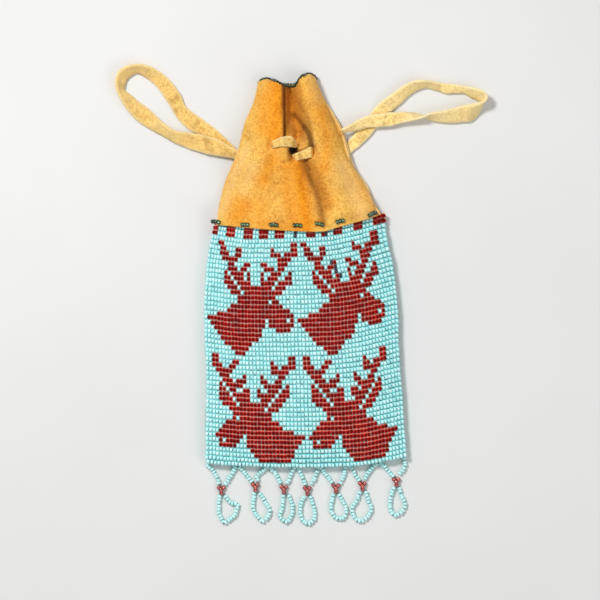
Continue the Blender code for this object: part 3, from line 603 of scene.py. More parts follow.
# A bead fills nearly all of its column.
SHEET_FILL = 0.99
# Rows and columns wander slowly, and each bead strays a little from them.
ROW_WANDER = 0.16 * MM
ROW_STRAY = 0.06 * MM
COLUMN_WANDER = 0.14 * MM
COLUMN_STRAY = 0.03 * MM
# Heights and wander are averaged with their neighbours this many times.
HEIGHT_PASSES, WANDER_PASSES = 4, 3
# A bead lies up to this much deeper than the solid's surface.
MOST_SUNK = 0.1 * MM


def sheet_places(tree, down):
    """Middles, bore directions, outward directions and pitches of a sheet's beads, as rows by columns."""
    rows = np.arange(ROWS + HIDDEN_ROWS)
    places = -1 + 2 * (np.arange(COLUMNS) + 0.5) / COLUMNS
    ground = np.zeros((len(rows), COLUMNS, 3))
    for i in rows:
        step = (i + 0.5) / len(rows)
        for j, straight in enumerate(places):
            lean = follow(LEAN_COLUMNS, straight) * ease((step - LEAN_START) / LEAN_RUN)
            place = straight + 2 * lean / COLUMNS
            y = mix(bottom_edge(place), hem_edge(place) + HIDDEN_ROWS * ROW_PITCH, step)
            right = HALF_WIDTH * follow(SHEET_RIGHT_SHARES, (y - Y_BOTTOM) / POUCH_LENGTH)
            x = mix(left_side(y), right, (place + 1) / 2) + SPREAD * math.sin(math.pi * place)
            ground[i, j] = (x, y, height_on(tree, x, y, down))
    ground[..., 2] = smoothed(ground[..., 2], HEIGHT_PASSES)
    outward = grid_normals(ground) * (1 if down else -1)
    across = np.gradient(ground, axis=1)
    middles = ground - outward * BEAD_RADIUS
    wander = smoothed(rng.normal(0, 1, ground.shape[:2]), WANDER_PASSES) * ROW_WANDER
    middles[..., 1] += wander + rng.normal(0, ROW_STRAY, wander.shape)
    wander = smoothed(rng.normal(0, 1, ground.shape[:2]), WANDER_PASSES) * COLUMN_WANDER
    middles[..., 0] += wander + rng.normal(0, COLUMN_STRAY, wander.shape)
    middles += outward * rng.uniform(-MOST_SUNK, 0.0, wander.shape)[..., None]
    return middles, unit(across), outward, np.linalg.norm(across, axis=-1)


def under_leather(places):
    """Which beads of the topmost row the neck covers. The others aren't made."""
    return np.array([left_side(y) < x < right_side(y) for x, y, _ in places])


# %% Both sheets
FINISHES = {"turquoise": turquoise, "brick": brick, "plum": plum}


def weave(name, tree, down, colour_of, sides, shape):
    """One beaded sheet: a piece for each colour of bead."""
    middles, alongs, outward, pitches = sheet_places(tree, down)
    colours = np.array([[colour_of(j, SHOWN_ROWS - 1 - i) for j in range(COLUMNS)]
                        for i in range(ROWS + HIDDEN_ROWS)])
    made = {}
    for colour, finish in FINISHES.items():
        chosen = colours == colour
        chosen[-1] &= under_leather(middles[-1])
        if chosen.any():
            made[colour] = beads(f"{name}_{colour}_beads", middles[chosen], alongs[chosen], outward[chosen],
                                 finish, BEAD_WIDTH * SNUG, pitches[chosen], sides, SHEET_FILL, shape)
    return made, middles


def border_only(column, row):
    return "brick" if in_border(column, row) else "turquoise"


front_sheet, front_middles = weave("front", front_tree, down=True, colour_of=bead_colour, sides=8,
                                   shape=BEAD_RINGS)
back_sheet, back_middles = weave("back", back_tree, down=False, colour_of=border_only, sides=6,
                                 shape=BACK_RINGS)
for sheet, node in ((front_sheet, "beaded_front"), (back_sheet, "beaded_back")):
    for colour, piece in sheet.items():
        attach(piece, "bag")
        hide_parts(node)
        print(piece.name, len(piece.data.polygons), "faces")

# %% [markdown]
# ### Warp threads
#
# Between two columns of beads a pair of threads shows as a pale line in the gaps. One thin strand for each
# gap, through the beads' middle plane, gives that line and keeps light from falling through the sheet. Its
# pale teal is painted light from the turquoise glass around it.

# %% Threads of both sheets
THREAD_WIDTH = 0.7 * MM
# The thread's pale teal is painted light from the turquoise glass around it.
thread = two_tone("loom_thread", scale=900, first=(0.34, 0.54, 0.54), second=(0.5, 0.7, 0.7), roughness=0.9)


def warp(name, middles):
    """One flat strand down each gap between two columns of beads."""
    lines = (middles[:, 1:] + middles[:, :-1]) / 2
    wide, thin = np.array([THREAD_WIDTH / 2, 0, 0]), np.array([0, 0, THREAD_WIDTH / 3])
    points, faces = [], []
    for column in range(lines.shape[1]):
        line = lines[:, column]
        faces += strand_faces(len(line), 4, len(points) * 4)
        points += [np.stack([p - wide, p - thin, p + wide, p + thin]) for p in line]
    return add_piece(name, np.concatenate(points), faces, thread)


for name, middles in (("front_warp", front_middles), ("back_warp", back_middles)):
    piece = warp(name, middles[:-1])
    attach(piece, "bag")
print("hidden beads:", under_leather(front_middles[-1]).sum(), "of", COLUMNS)
print("warp threads:", 2 * (COLUMNS - 1))

# %% [markdown]
# ## Suede
#
# Smoked buckskin is matt and fuzzy, ochre with paler places and brown stains. The colour is built in
# layers: a broad change from straw to orange, stains and painted shade that the mesh stores where they lie,
# darker patches, small specks, pale raw edges with painted light where a strip stands on its edge, and
# nearly black painted shade in the deepest hollows. A fine bump gives the nap.

# %% Suede materials
# Nearly black painted shade for the open slit and the bottoms of the deepest folds.
DEEP_SHADE = (0.012, 0.007, 0.004)
# Spots to the metre in each layer, and the depth of the nap.
BROAD_SPOTS, PATCH_SPOTS, SPECK_SPOTS, NAP_SPOTS = 45, 260, 1000, 1500
NAP_DEPTH = 0.25 * MM
DARK_PATCH, PALE_PATCH = (0.94, 0.905, 0.84), (1.03, 1.03, 1.03)
DARK_SPECK, PALE_SPECK = (0.734, 0.544, 0.468), (1.16, 1.16, 1.16)


def mixed(first, second, share):
    return tuple(mix(a, b, share) for a, b in zip(first, second))


def suede(name, straw, ochre, stain_and_shade, edge):
    made, nodes, links, shader = new_material(name)

    def over(layer, number, colour):
        """A colour over the layers so far, where the mesh stores a number."""
        return combine(nodes, links, "MIX", stored_number(nodes, number), layer, (*colour, 1))

    def times(layer, spots_to_metre, detail, roughness, stops):
        spotted = ramped(nodes, links, noise(nodes, links, spots_to_metre, detail, roughness), stops)
        return combine(nodes, links, "MULTIPLY", 1.0, layer, spotted)

    layer = ramped(nodes, links, noise(nodes, links, BROAD_SPOTS, 4, 0.6),
                   ((0.42, straw), (0.8, mixed(straw, ochre, 0.6))))
    layer = over(layer, "warmth", ochre)
    # Stains, with painted shade in the folds, the recessed panel and the slit.
    layer = over(layer, "stain_and_shade", stain_and_shade)
    layer = times(layer, PATCH_SPOTS, 3, 0.6, ((0.38, DARK_PATCH), (0.58, PALE_PATCH)))
    layer = times(layer, SPECK_SPOTS, 5, 0.7, ((0.34, DARK_SPECK), (0.52, (1, 1, 1)), (0.68, PALE_SPECK)))
    layer = over(layer, "edge", edge)
    links.new(over(layer, "hollow_shade", DEEP_SHADE), shader.inputs["Base Color"])
    set_inputs(shader, {"Roughness": 0.95, "Specular IOR Level": 0.1, "Sheen Weight": 0.03,
                        "Sheen Roughness": 0.6})
    bump = nodes.new("ShaderNodeBump")
    set_inputs(bump, {"Strength": 0.5, "Distance": NAP_DEPTH})
    links.new(noise(nodes, links, NAP_SPOTS, 4, 0.7), bump.inputs["Height"])
    links.new(bump.outputs["Normal"], shader.inputs["Normal"])
    return made


ochre_suede = suede("ochre_suede", straw=(0.86, 0.52, 0.115), ochre=(0.86, 0.315, 0.014),
                    stain_and_shade=(0.24, 0.085, 0.01), edge=(0.90, 0.66, 0.32))
cream_suede = suede("cream_suede", straw=(0.87, 0.60, 0.19), ochre=(0.82, 0.50, 0.13),
                    stain_and_shade=(0.46, 0.27, 0.08), edge=(0.93, 0.73, 0.36))
# The right thong has a paler copy of the cream suede.
paler_cream_suede = suede("paler_cream_suede", straw=(0.96, 0.75, 0.29), ochre=(0.92, 0.64, 0.21),
                    stain_and_shade=(0.54, 0.36, 0.13), edge=(0.97, 0.84, 0.50))
print("suede finishes:", 3)

# %% [markdown]
# ## The neck
#
# The neck's front starts from its solid, which has the two lobes and the deep middle fold. The creases of
# the soft leather are lines with a depth and a width of their own, pressed into that surface, and its
# ridges are lines that stand out of it. A second skin inside gives it its thickness, and the rim between
# the two shows the raw edge.

# %% Creases and stains of the neck, in the photograph's pixels
# Each crease or ridge has its points, its depth or height in millimetres and its half width in pixels.
CREASES = (
    (((283.6, 84), (283.8, 110), (284.6, 140)), 1.2, 1.3),
    (((296, 118), (301, 123), (305.6, 128.3), (308.9, 133.9), (310.8, 140), (311, 147)), 1.4, 3.2),
    (((304, 161), (308, 172), (314, 184), (319, 196), (323, 219)), 2.3, 4.6),
    (((333, 112), (338, 128), (342, 146)), 0.6, 4.0),
    (((258, 142), (250, 168), (246, 190)), 0.35, 5.0),
    (((273, 150), (277, 172), (282, 196)), 0.5, 4.0),
    (((292, 164), (288, 190), (294, 214)), 0.5, 4.5),
    (((340, 160), (352, 184), (358, 206)), 0.5, 5.0),
    (((262, 100), (259, 122), (250, 140)), 0.3, 4.5),
)
RIDGES = (
    (((268, 84), (266, 112), (262, 140)), 0.6, 8.0),
    (((312, 82), (317, 112), (322, 142)), 0.7, 7.0),
    (((330, 160), (338, 186), (342, 214)), 0.8, 8.0),
    (((298, 166), (300, 188), (304, 212)), 0.7, 6.0),
)
# Painted shade and dirt in the deep folds and beside the stitches: lines in pixels, with their half
# width and strength.
SHADE_AND_DIRT_LINES = (
    (((284.2, 86), (284.4, 110), (284.8, 139)), 1.7, 0.95),
    (((287, 88), (288, 110), (288, 134)), 3.2, 0.5),
    (((293.5, 114.5), (297, 118.5), (302, 124.5), (307, 132), (310, 139), (311, 147)), 3.4, 0.85),
    (((297.8, 104), (305, 114), (309, 124), (310, 134)), 4.0, 0.45),
    (((291, 90), (293, 104), (297, 116), (301, 128), (302, 138)), 6.5, 0.42),
    (((298, 152), (304, 149.5), (311, 146.5)), 1.5, 0.6),
    (((306, 162), (309, 170)), 3.2, 0.75),
    (((306, 161), (308, 172), (312.5, 184), (317.5, 194), (320, 200)), 3.2, 0.76),
    (((316, 188), (320.5, 205), (323, 224)), 4.0, 0.7),
    (((310, 164), (316, 176), (322, 192), (326, 206)), 6.0, 0.42),
    (((296, 150), (293, 158), (284, 163)), 2.2, 0.3),
)
# Each spot has its middle, its radius in pixels and its strength. Most are stains. Those in the recessed
# panel between the lobes, and the last one in the slit, are painted shade.
STAIN_AND_SHADE_SPOTS = (
    (266, 179, 9, 0.12), (241, 211, 12, 0.08), (298, 104, 9, 0.35), (303, 120, 8, 0.3), (292, 130, 6, 0.35),
    (312, 176, 6, 0.3), (280, 182, 5, 0.1), (333, 118, 7, 0.2), (339, 133, 7, 0.2), (248, 133, 5, 0.2),
    (250, 140, 4, 0.2), (268, 162, 5, 0.2), (350, 190, 6, 0.12), (281, 223, 12, 0.15), (352, 220, 6, 0.2),
    (303, 136, 7, 0.35), (293.6, 151.4, 4.4, 2.4),
)
# The orange runs in broad bands down the lobes: lines with their half width in pixels and their strength.
WARM_LINES = (
    (((277, 88), (278, 112), (275, 136)), 11.5, 0.95),
    (((298, 166), (301, 185), (304, 205), (306, 228)), 9.5, 1.0),
    (((286, 168), (287, 190), (292, 220)), 9.0, 0.6),
    (((322, 114), (326, 132), (327, 152), (325, 168)), 7.5, 0.65),
    (((313, 168), (322, 186), (326, 204)), 8.0, 0.55),
    (((291, 88), (293, 108), (297, 132)), 10.0, 0.75),
    (((272, 162), (264, 180)), 8.0, 0.75),
    (((243, 206), (238, 216)), 10.0, 0.7),
    (((266, 100), (262, 128)), 9.0, 0.55),
    (((262, 226), (290, 229), (320, 222)), 6.0, 0.5),
    (((312, 90), (318, 112)), 8.0, 0.3),
)
# Paler places, nearly as pale as a raw edge: lines with their half width and strength.
PALER_LINES = (
    (((342, 168), (351, 188), (360, 206), (369, 224)), 9.0, 0.28),
    (((246, 150), (234, 176), (226, 200), (219, 214)), 6.0, 0.3),
    (((313, 84), (319, 100)), 5.0, 0.14),
    (((252, 168), (243, 190)), 8.0, 0.2),
)
# Nearly black painted shade: the open slit between the two stitches, and the bottoms of the deepest folds.
HOLLOW_SHADE_LINES = (
    (((291.8, 150.7), (294.9, 150.7)), 2.7, 1.0),
    (((284.2, 88), (284.4, 110), (284.8, 139)), 0.8, 0.3),
    (((304, 128), (308, 133), (310.4, 140), (311, 147)), 2.4, 0.4),
    (((305, 163), (309, 174), (314, 184)), 2.6, 0.16),
)
print("creases:", len(CREASES), "ridges:", len(RIDGES), "stains:", len(STAIN_AND_SHADE_SPOTS))


# %% Soft spots and soft lines
def spots(points, table):
    """The sum of round, soft spots at each point of a grid."""
    total = np.zeros(points.shape[:-1])
    for px, py, reach, strength in table:
        x, y = at_pixel(px, py)
        away = np.hypot(points[..., 0] - x, points[..., 1] - y) / (reach * PIXEL)
        total += strength * np.exp(-away ** 2)
    return total


def line_profile(points, line, half_width):
    """1 on a line of pixels, falling to 0 beside it and beyond its ends."""
    places = [at_pixel(*p) for p in line]
    nearest = np.full(points.shape[:-1], 1.0)
    for (ax, ay), (bx, by) in zip(places, places[1:]):
        span = (bx - ax) ** 2 + (by - ay) ** 2
        share = np.clip(((points[..., 0] - ax) * (bx - ax) + (points[..., 1] - ay) * (by - ay)) / span, 0, 1)
        away = np.hypot(points[..., 0] - mix(ax, bx, share), points[..., 1] - mix(ay, by, share))
        nearest = np.minimum(nearest, away)
    return np.exp(-(nearest / (half_width * PIXEL)) ** 2)


def with_lines(values, points, table):
    """The values of a grid, or the strength of a line where that is more."""
    for line, half_width, strength in table:
        values = np.maximum(values, strength * line_profile(points, line, half_width))
    return values


# %% A leather skin between two grids
# The leather's hem is set in at its left end and reaches out at its right end.
HEM_RUN_OUT = 9.0 * MM
LEFT_INSET = 1.3 * MM
RIGHT_INSET = -1.1 * MM


def neck_grid(rows, columns):
    """x and y over the neck, from hem to rim, with columns that are closer at the two sides."""
    steps = np.linspace(0, 1, rows)
    places = (np.linspace(-1, 1, columns) - np.cos(np.linspace(0, np.pi, columns))) / 2
    grid = np.zeros((rows, columns, 3))
    for i, step in enumerate(steps):
        for j, place in enumerate(places):
            y = mix(leather_hem(place), rim_edge(place), step)
            near_hem = 1 - float(ease((y - leather_hem(place)) / HEM_RUN_OUT))
            left, right = left_side(y) + LEFT_INSET * near_hem, right_side(y) - RIGHT_INSET * near_hem
            grid[i, j, :2] = (mix(left, right, (place + 1) / 2), y)
    return grid


def closed_skin(name, outer, inner, finish, numbers):
    """A closed sheet from an outer and an inner grid of points. Its numbers come as two grids each."""
    rows, columns = outer.shape[:2]
    under = rows * columns
    index = np.arange(under).reshape(rows, columns).tolist()
    faces = []
    for row, next_row in zip(index, index[1:]):
        for a, b, c, d in zip(row, row[1:], next_row[1:], next_row):
            faces.append([a, b, c, d])
            faces.append([d + under, c + under, b + under, a + under])
    right, left = [row[-1] for row in index[1:]], [row[0] for row in index[-2:0:-1]]
    border = index[0] + right + index[-1][-2::-1] + left
    for a, b in zip(border, border[1:] + border[:1]):
        faces.append([b, a, a + under, b + under])
    points = np.concatenate([outer.reshape(-1, 3), inner.reshape(-1, 3)])
    stored = {key: np.concatenate([first.ravel(), second.ravel()])
              for key, (first, second) in numbers.items()}
    return add_piece(name, points, faces, finish, stored)


def edge_closeness(shape, reach):
    """1 on a grid's two sides, falling inwards over that many columns."""
    columns = np.arange(shape[1])
    away = np.minimum(columns, shape[1] - 1 - columns)
    return np.broadcast_to(np.exp(-(away / reach) ** 2), shape)


print("neck width at its hem:", round((right_side(Y_HEM) - left_side(Y_HEM)) / MM, 1), "mm")

# %% The fold in the neck's front, and the humps over the thongs
# The panel between the two lobes lies deeper, behind a sharp edge on its left. Its right side is a line of
# (py, px) pixels where the right lobe begins, and it ends where the stitches gather the neck. Its left wall
# is about a pixel wide, and its floor is flat over nearly half of its width.
PANEL_LEFT, PANEL_WALL, PANEL_FLAT = 284.0, 1.2, 0.45
PANEL_RIGHT = ((80.0, 300.0), (87.0, 302.0), (102.0, 307.0), (118.0, 312.0), (132.0, 314.0), (150.0, 315.0))
PANEL_END, PANEL_FADE, PANEL_DEPTH = 149.0, 20.0, 3.2 * MM
# The hole between the two stitches: its place and reach in pixels, and its depth.
SLIT_HOLE = (293.6, 151.4, 4.2, 3.0 * MM)
# The places where a thong comes out: pixels, the leather's height in millimetres and the reach in pixels.
EXITS = ((239.5, 154, 6.25, 10), (341, 131, 7.0, 9), (349, 149, 3.25, 9))


def panel_recess(points):
    px = points[..., 0] / PIXEL + MIDDLE_PIXEL[0]
    py = MIDDLE_PIXEL[1] - points[..., 1] / PIXEL
    right = np.interp(py, [row[0] for row in PANEL_RIGHT], [row[1] for row in PANEL_RIGHT])
    share = (px - PANEL_LEFT) / (right - PANEL_LEFT)
    wall = ease((px - PANEL_LEFT) / PANEL_WALL)
    flat = 1 - ease((share - PANEL_FLAT) / (1 - PANEL_FLAT))
    return PANEL_DEPTH * wall * flat * ease((PANEL_END - py) / PANEL_FADE)


def raised_at_exits(points):
    """Heights of the skin, arched over each thong where it comes out at the side."""
    heights = points[..., 2]
    for px, py, height, reach in EXITS:
        x, y = at_pixel(px, py)
        away = np.hypot(points[..., 0] - x, points[..., 1] - y) / (reach * PIXEL)
        heights = np.maximum(heights, height * MM * np.exp(-away ** 2))
    return heights


print("the fold is", round(PANEL_DEPTH / MM, 1), "mm deeper than the solid's")

# %% The neck's front
FRONT_GRID = (150, 150)
FRONT_PASSES = 10
FRONT_THICKNESS = 0.9 * LEATHER
# Near the hem the stitches hold the leather flat, so creases and ripples start above it.
HEM_FLAT, HEM_FADE = 3 * MM, 6 * MM
# The ripple is chance, averaged with its neighbours this many times.
RIPPLE, RIPPLE_PASSES = 0.5 * MM, 24
MOST_STAIN_AND_SHADE = 0.97
# How many columns the raw edge reaches in from the sides, how strongly, and how pale the inner skin is.
EDGE_REACH, EDGE_STRENGTH, INNER_EDGE = 2.2, 0.85, 0.3
HOLLOW_GAIN = 1.6


def front_surface():
    """The solid's surface with the fold, the humps over the thongs, the creases and the ridges."""
    grid = neck_grid(*FRONT_GRID)
    lay_on(solid_tree("leather_front"), grid)
    grid[..., 2] = smoothed(grid[..., 2], FRONT_PASSES)
    grid[..., 2] -= panel_recess(grid)
    grid[..., 2] = raised_at_exits(grid)
    grid[..., 2] -= spots(grid, (SLIT_HOLE,))
    away_from_hem = ease((grid[..., 1] - Y_HEM - HEM_FLAT) / HEM_FADE)
    for table, way in ((CREASES, -MM), (RIDGES, MM)):
        for line, height, half_width in table:
            grid[..., 2] += way * height * line_profile(grid, line, half_width) * away_from_hem
    grid[..., 2] += smoothed(rng.normal(0, 1, FRONT_GRID), RIPPLE_PASSES) * RIPPLE * away_from_hem
    return grid


def front_marks(grid):
    """The numbers of the outer and inner skin: stains with painted shade, orange bands, pale edges and
    nearly black painted shade in the hollows.
    """
    nothing = np.zeros(FRONT_GRID)
    stain_and_shade = np.clip(with_lines(spots(grid, STAIN_AND_SHADE_SPOTS), grid, SHADE_AND_DIRT_LINES), 0, MOST_STAIN_AND_SHADE)
    warmth = nothing
    for line, half_width, strength in WARM_LINES:
        warmth = 1 - (1 - warmth) * (1 - strength * line_profile(grid, line, half_width))
    edge = with_lines(edge_closeness(FRONT_GRID, EDGE_REACH) * EDGE_STRENGTH, grid, PALER_LINES)
    hollow_shade = nothing
    for line, half_width, strength in HOLLOW_SHADE_LINES:
        hollow_shade = np.maximum(hollow_shade, strength * ease(HOLLOW_GAIN * line_profile(grid, line, half_width)))
    return {"stain_and_shade": (stain_and_shade, nothing), "warmth": (warmth, nothing), "edge": (edge, nothing + INNER_EDGE),
            "hollow_shade": (hollow_shade, nothing)}


def make_neck_front():
    outer = front_surface()
    inner = outer - grid_normals(outer) * FRONT_THICKNESS
    return closed_skin("neck_front", outer, inner, ochre_suede, front_marks(outer))


neck_front = make_neck_front()
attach(neck_front, "bag")
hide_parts("leather_front")
print("neck front:", len(neck_front.data.polygons), "faces")

# %% The neck's back
BACK_GRID = (60, 60)
BACK_PASSES = 6
BACK_THICKNESS = 0.92 * LEATHER
# The back peeks out a little beside the front's right edge.
BACK_PEEK = 0.9 * MM
# In the dip between the lobes the back's rim stands a little above the front's.
DIP_PLACE, DIP_HALF_WIDTH, DIP_RISE = 0.12, 0.26, 1.3 * MM
BACK_RIPPLE, BACK_RIPPLE_PASSES = 0.2 * MM, 16
MOST_BACK_STAIN = 0.6
BACK_EDGE_REACH, BACK_EDGE_STRENGTH = 1.2, 0.9


def back_surface():
    """The solid's underside, with a low ripple, and never below the table."""
    grid = neck_grid(*BACK_GRID)
    share = (grid[..., 1] - Y_HEM) / NECK_LENGTH
    left, right = grid[:, :1, 0], grid[:, -1:, 0]
    place = 2 * (grid[..., 0] - left) / (right - left) - 1
    grid[..., 1] += DIP_RISE * np.exp(-((place - DIP_PLACE) / DIP_HALF_WIDTH) ** 2) * ease(share) ** 3
    peek = BACK_PEEK * ease(share * 3) * ease((1 - share) * 3)
    middle = (left + right) / 2
    beside = (grid[..., 0] - middle) / (right - middle)
    grid[..., 0] += np.where(grid[..., 0] > middle, peek, 0) * beside
    lay_on(solid_tree("leather_back"), grid, down=False)
    ripple = smoothed(rng.normal(0, 1, BACK_GRID), BACK_RIPPLE_PASSES)
    raised = BACK_RIPPLE * (ripple - ripple.min()) * ease(share * 4)
    grid[..., 2] = np.maximum(smoothed(grid[..., 2], BACK_PASSES) + raised, 0)
    return grid


def make_neck_back():
    outer = back_surface()
    inner = outer + np.array([0, 0, BACK_THICKNESS])
    edge = edge_closeness(BACK_GRID, BACK_EDGE_REACH) * BACK_EDGE_STRENGTH
    nothing = np.zeros(BACK_GRID)
    stain_and_shade = np.clip(spots(outer, STAIN_AND_SHADE_SPOTS[:4]), 0, MOST_BACK_STAIN)
    return closed_skin("neck_back", inner, outer, ochre_suede,
                       {"stain_and_shade": (nothing, stain_and_shade), "warmth": (nothing, nothing), "edge": (edge, edge)})


neck_back = make_neck_back()
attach(neck_back, "bag")
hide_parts("leather_back")
print("neck back:", len(neck_back.data.polygons), "faces")

# %% [markdown]
# ## Drawstrings
#
# The thongs are flat strips of suede, cut by hand, so their width wanders. A flat strip can't bend in its
# own plane: it tips onto its edge on the bends and twists over once on the right. So each strip is made
# between its two edge lines. Both were read off the photograph, and one edge is raised where the strip
# looks narrower than it is.

# %% A flat strip between its two edges
THONG_WIDTH = 7.0 * MM
THONG_THICKNESS = 1.0 * MM
# A section of the strip, as a share of its half width and of its half thickness.
STRIP_SECTION = ((1, 0.3), (0.97, 0.9), (0.6, 1.0), (0, 0.92), (-0.6, 1.0), (-0.97, 0.9), (-1, 0.3),
                 (-1, -0.3), (-0.97, -0.9), (-0.6, -1.0), (0, -0.92), (0.6, -1.0), (0.97, -0.9), (1, -0.3))
# The cut edges wander by chance, averaged this many times. From a share of the half width outwards they
# are paler.
EDGE_WANDER, EDGE_PASSES = 0.09 * MM, 2
EDGE_FROM, EDGE_WEAR = 0.6, 0.75
# Where a strip stands on its edge it is painted nearly as pale as a raw edge, as painted light against
# the shade that the tilt gives it.
BEND_LIGHT = 0.6
# A strip's dirt is chance, smoothed, made stronger and cut off.
DIRT_PASSES, DIRT_GAIN, DIRT_START, MOST_DIRT = 3, 1.3, 0.1, 0.75


def edge_line(stations, step, lift=0.0):
    """Two edges in metres, a step of pixels apart, from stations of (px, py, height in mm) for each edge."""
    points = []
    for ax, ay, az, bx, by, bz in stations:
        a, b = at_pixel(ax, ay), at_pixel(bx, by)
        points.append(((a[0] + b[0]) / 2, (a[1] + b[1]) / 2, *a, az * MM + lift, *b, bz * MM + lift))
    line = smooth_line(points, step * PIXEL)
    return line[:, 2:5], line[:, 5:8]


def strip(name, first, second, finish):
    """A flat strip with uneven, pale cut edges between two lines. Where it stands on its edge it has
    painted light.
    """
    wander = smoothed(rng.normal(0, 1, (len(first), 2)), EDGE_PASSES) * EDGE_WANDER
    across = unit(second - first)
    first, second = first - across * wander[:, :1], second + across * wander[:, 1:]
    centres, half = (first + second) / 2, (second - first) / 2
    thin = unit(np.cross(unit(np.gradient(centres, axis=0)), across))
    bend_light = BEND_LIGHT * np.abs(across[:, 2])
    points, edge = [], []
    for a, b in STRIP_SECTION:
        points.append(centres + half * a + thin * (b * THONG_THICKNESS / 2))
        edge.append(np.maximum(bend_light, EDGE_WEAR * max(abs(a) - EDGE_FROM, 0) / (1 - EDGE_FROM)))
    points = np.stack(points, axis=1)
    dirt = smoothed(rng.normal(0, 1, points.shape[:2]), DIRT_PASSES) * DIRT_GAIN - DIRT_START
    stain_and_shade = np.clip(dirt, 0, MOST_DIRT)
    return add_piece(name, points, strand_faces(len(centres), len(STRIP_SECTION)), finish,
                     {"edge": np.stack(edge, axis=1), "stain_and_shade": stain_and_shade, "warmth": np.zeros_like(stain_and_shade)})


print("points round a strip:", len(STRIP_SECTION))

# %% The routes of the two drawstrings
# The solid model's points, in millimetres: x, y, the lower side's height and, in degrees, how far the
# strip tips.
LEFT_ROUTE = (
    (-19.2, 83.1, 3.35, 0), (-24.6, 86.1, 3.35, 0), (-29.1, 88.8, 3.35, 0), (-32.0, 90.5, 3.35, 0),
    (-35.4, 92.8, 1.9, 4), (-39.9, 95.8, 0.3, 10), (-44.4, 98.7, 0, 8), (-48.9, 101.8, 0, 18),
    (-52.5, 105.0, 0, 30), (-55.2, 108.4, 0, 24), (-57.9, 112.7, 0, 20), (-61.5, 117.8, 0, 4),
    (-65.1, 121.4, 0, 14), (-68.7, 123.8, 0, 36), (-72.3, 125.3, 0, 48), (-75.9, 125.9, 0, 56),
    (-79.1, 125.4, 0, 54), (-81.6, 123.7, 0, 55), (-82.9, 121.0, 0, 57), (-82.9, 117.4, 0, 57),
    (-81.3, 114.2, 0, 50), (-78.6, 111.3, 0, 36), (-75.0, 108.4, 0, 26), (-71.4, 105.8, 0, 32),
    (-67.8, 103.0, 0, 50), (-64.2, 99.9, 0, 56), (-60.2, 97.4, 0, 52), (-55.6, 95.1, 0.3, 34),
    (-50.7, 93.2, 1.0, 10), (-44.8, 91.8, 1.9, 0), (-38.1, 90.4, 3.4, 0), (-33.6, 89.6, 4.65, 0),
    (-29.1, 88.7, 4.65, 0), (-24.1, 87.7, 4.65, 0), (-19.2, 86.7, 4.65, 0),
)
RIGHT_ROUTE = (
    (2.9, 91.7, 3.35, 0), (10.1, 94.8, 3.35, 0), (17.6, 97.9, 3.35, 0), (21.4, 99.4, 3.2, 0),
    (26.4, 101.2, 2.9, 0), (31.8, 102.6, 2.4, 4), (38.1, 103.3, 1.0, 22), (43.9, 103.7, 0, 44),
    (48.9, 104.0, 0, 66), (53.4, 104.2, 0, 92), (57.9, 104.1, 0, 122), (63.3, 104.7, 0, 144),
    (69.2, 105.5, 0, 166), (74.6, 106.6, 0, 172), (78.6, 108.6, 0, 150), (80.9, 111.3, 0, 126),
    (80.7, 114.0, 0, 116), (78.0, 115.8, 0, 122), (73.7, 116.4, 0, 124), (69.2, 116.8, 0, 132),
    (64.2, 117.4, 0, 142), (59.3, 118.2, 0, 130), (55.2, 118.9, 0, 118), (51.1, 118.9, 0, 118),
    (47.5, 117.4, 0, 126), (43.9, 115.1, 0, 130), (40.3, 112.6, 0, 136), (36.7, 109.7, 0, 146),
    (33.1, 106.1, 0, 160), (29.5, 102.1, 0, 176), (26.8, 98.3, 0, 180), (23.7, 94.2, 0.7, 180),
    (20.3, 90.0, 3.35, 180), (16.4, 86.7, 3.35, 180), (11.5, 82.7, 3.35, 180), (6.5, 78.6, 3.35, 180),
)
ROUTE_STEP = 3.2 * MM


def route_line(route):
    """The middle line of a drawstring's solid, which is higher where the strip stands on its edge."""
    points = []
    for x, y, z, roll in route:
        turn = math.radians(roll)
        stand = THONG_WIDTH / 2 * abs(math.sin(turn)) + THONG_THICKNESS / 2 * abs(math.cos(turn))
        points.append((x * MM, y * MM, z * MM + stand))
    return smooth_line(points, ROUTE_STEP)


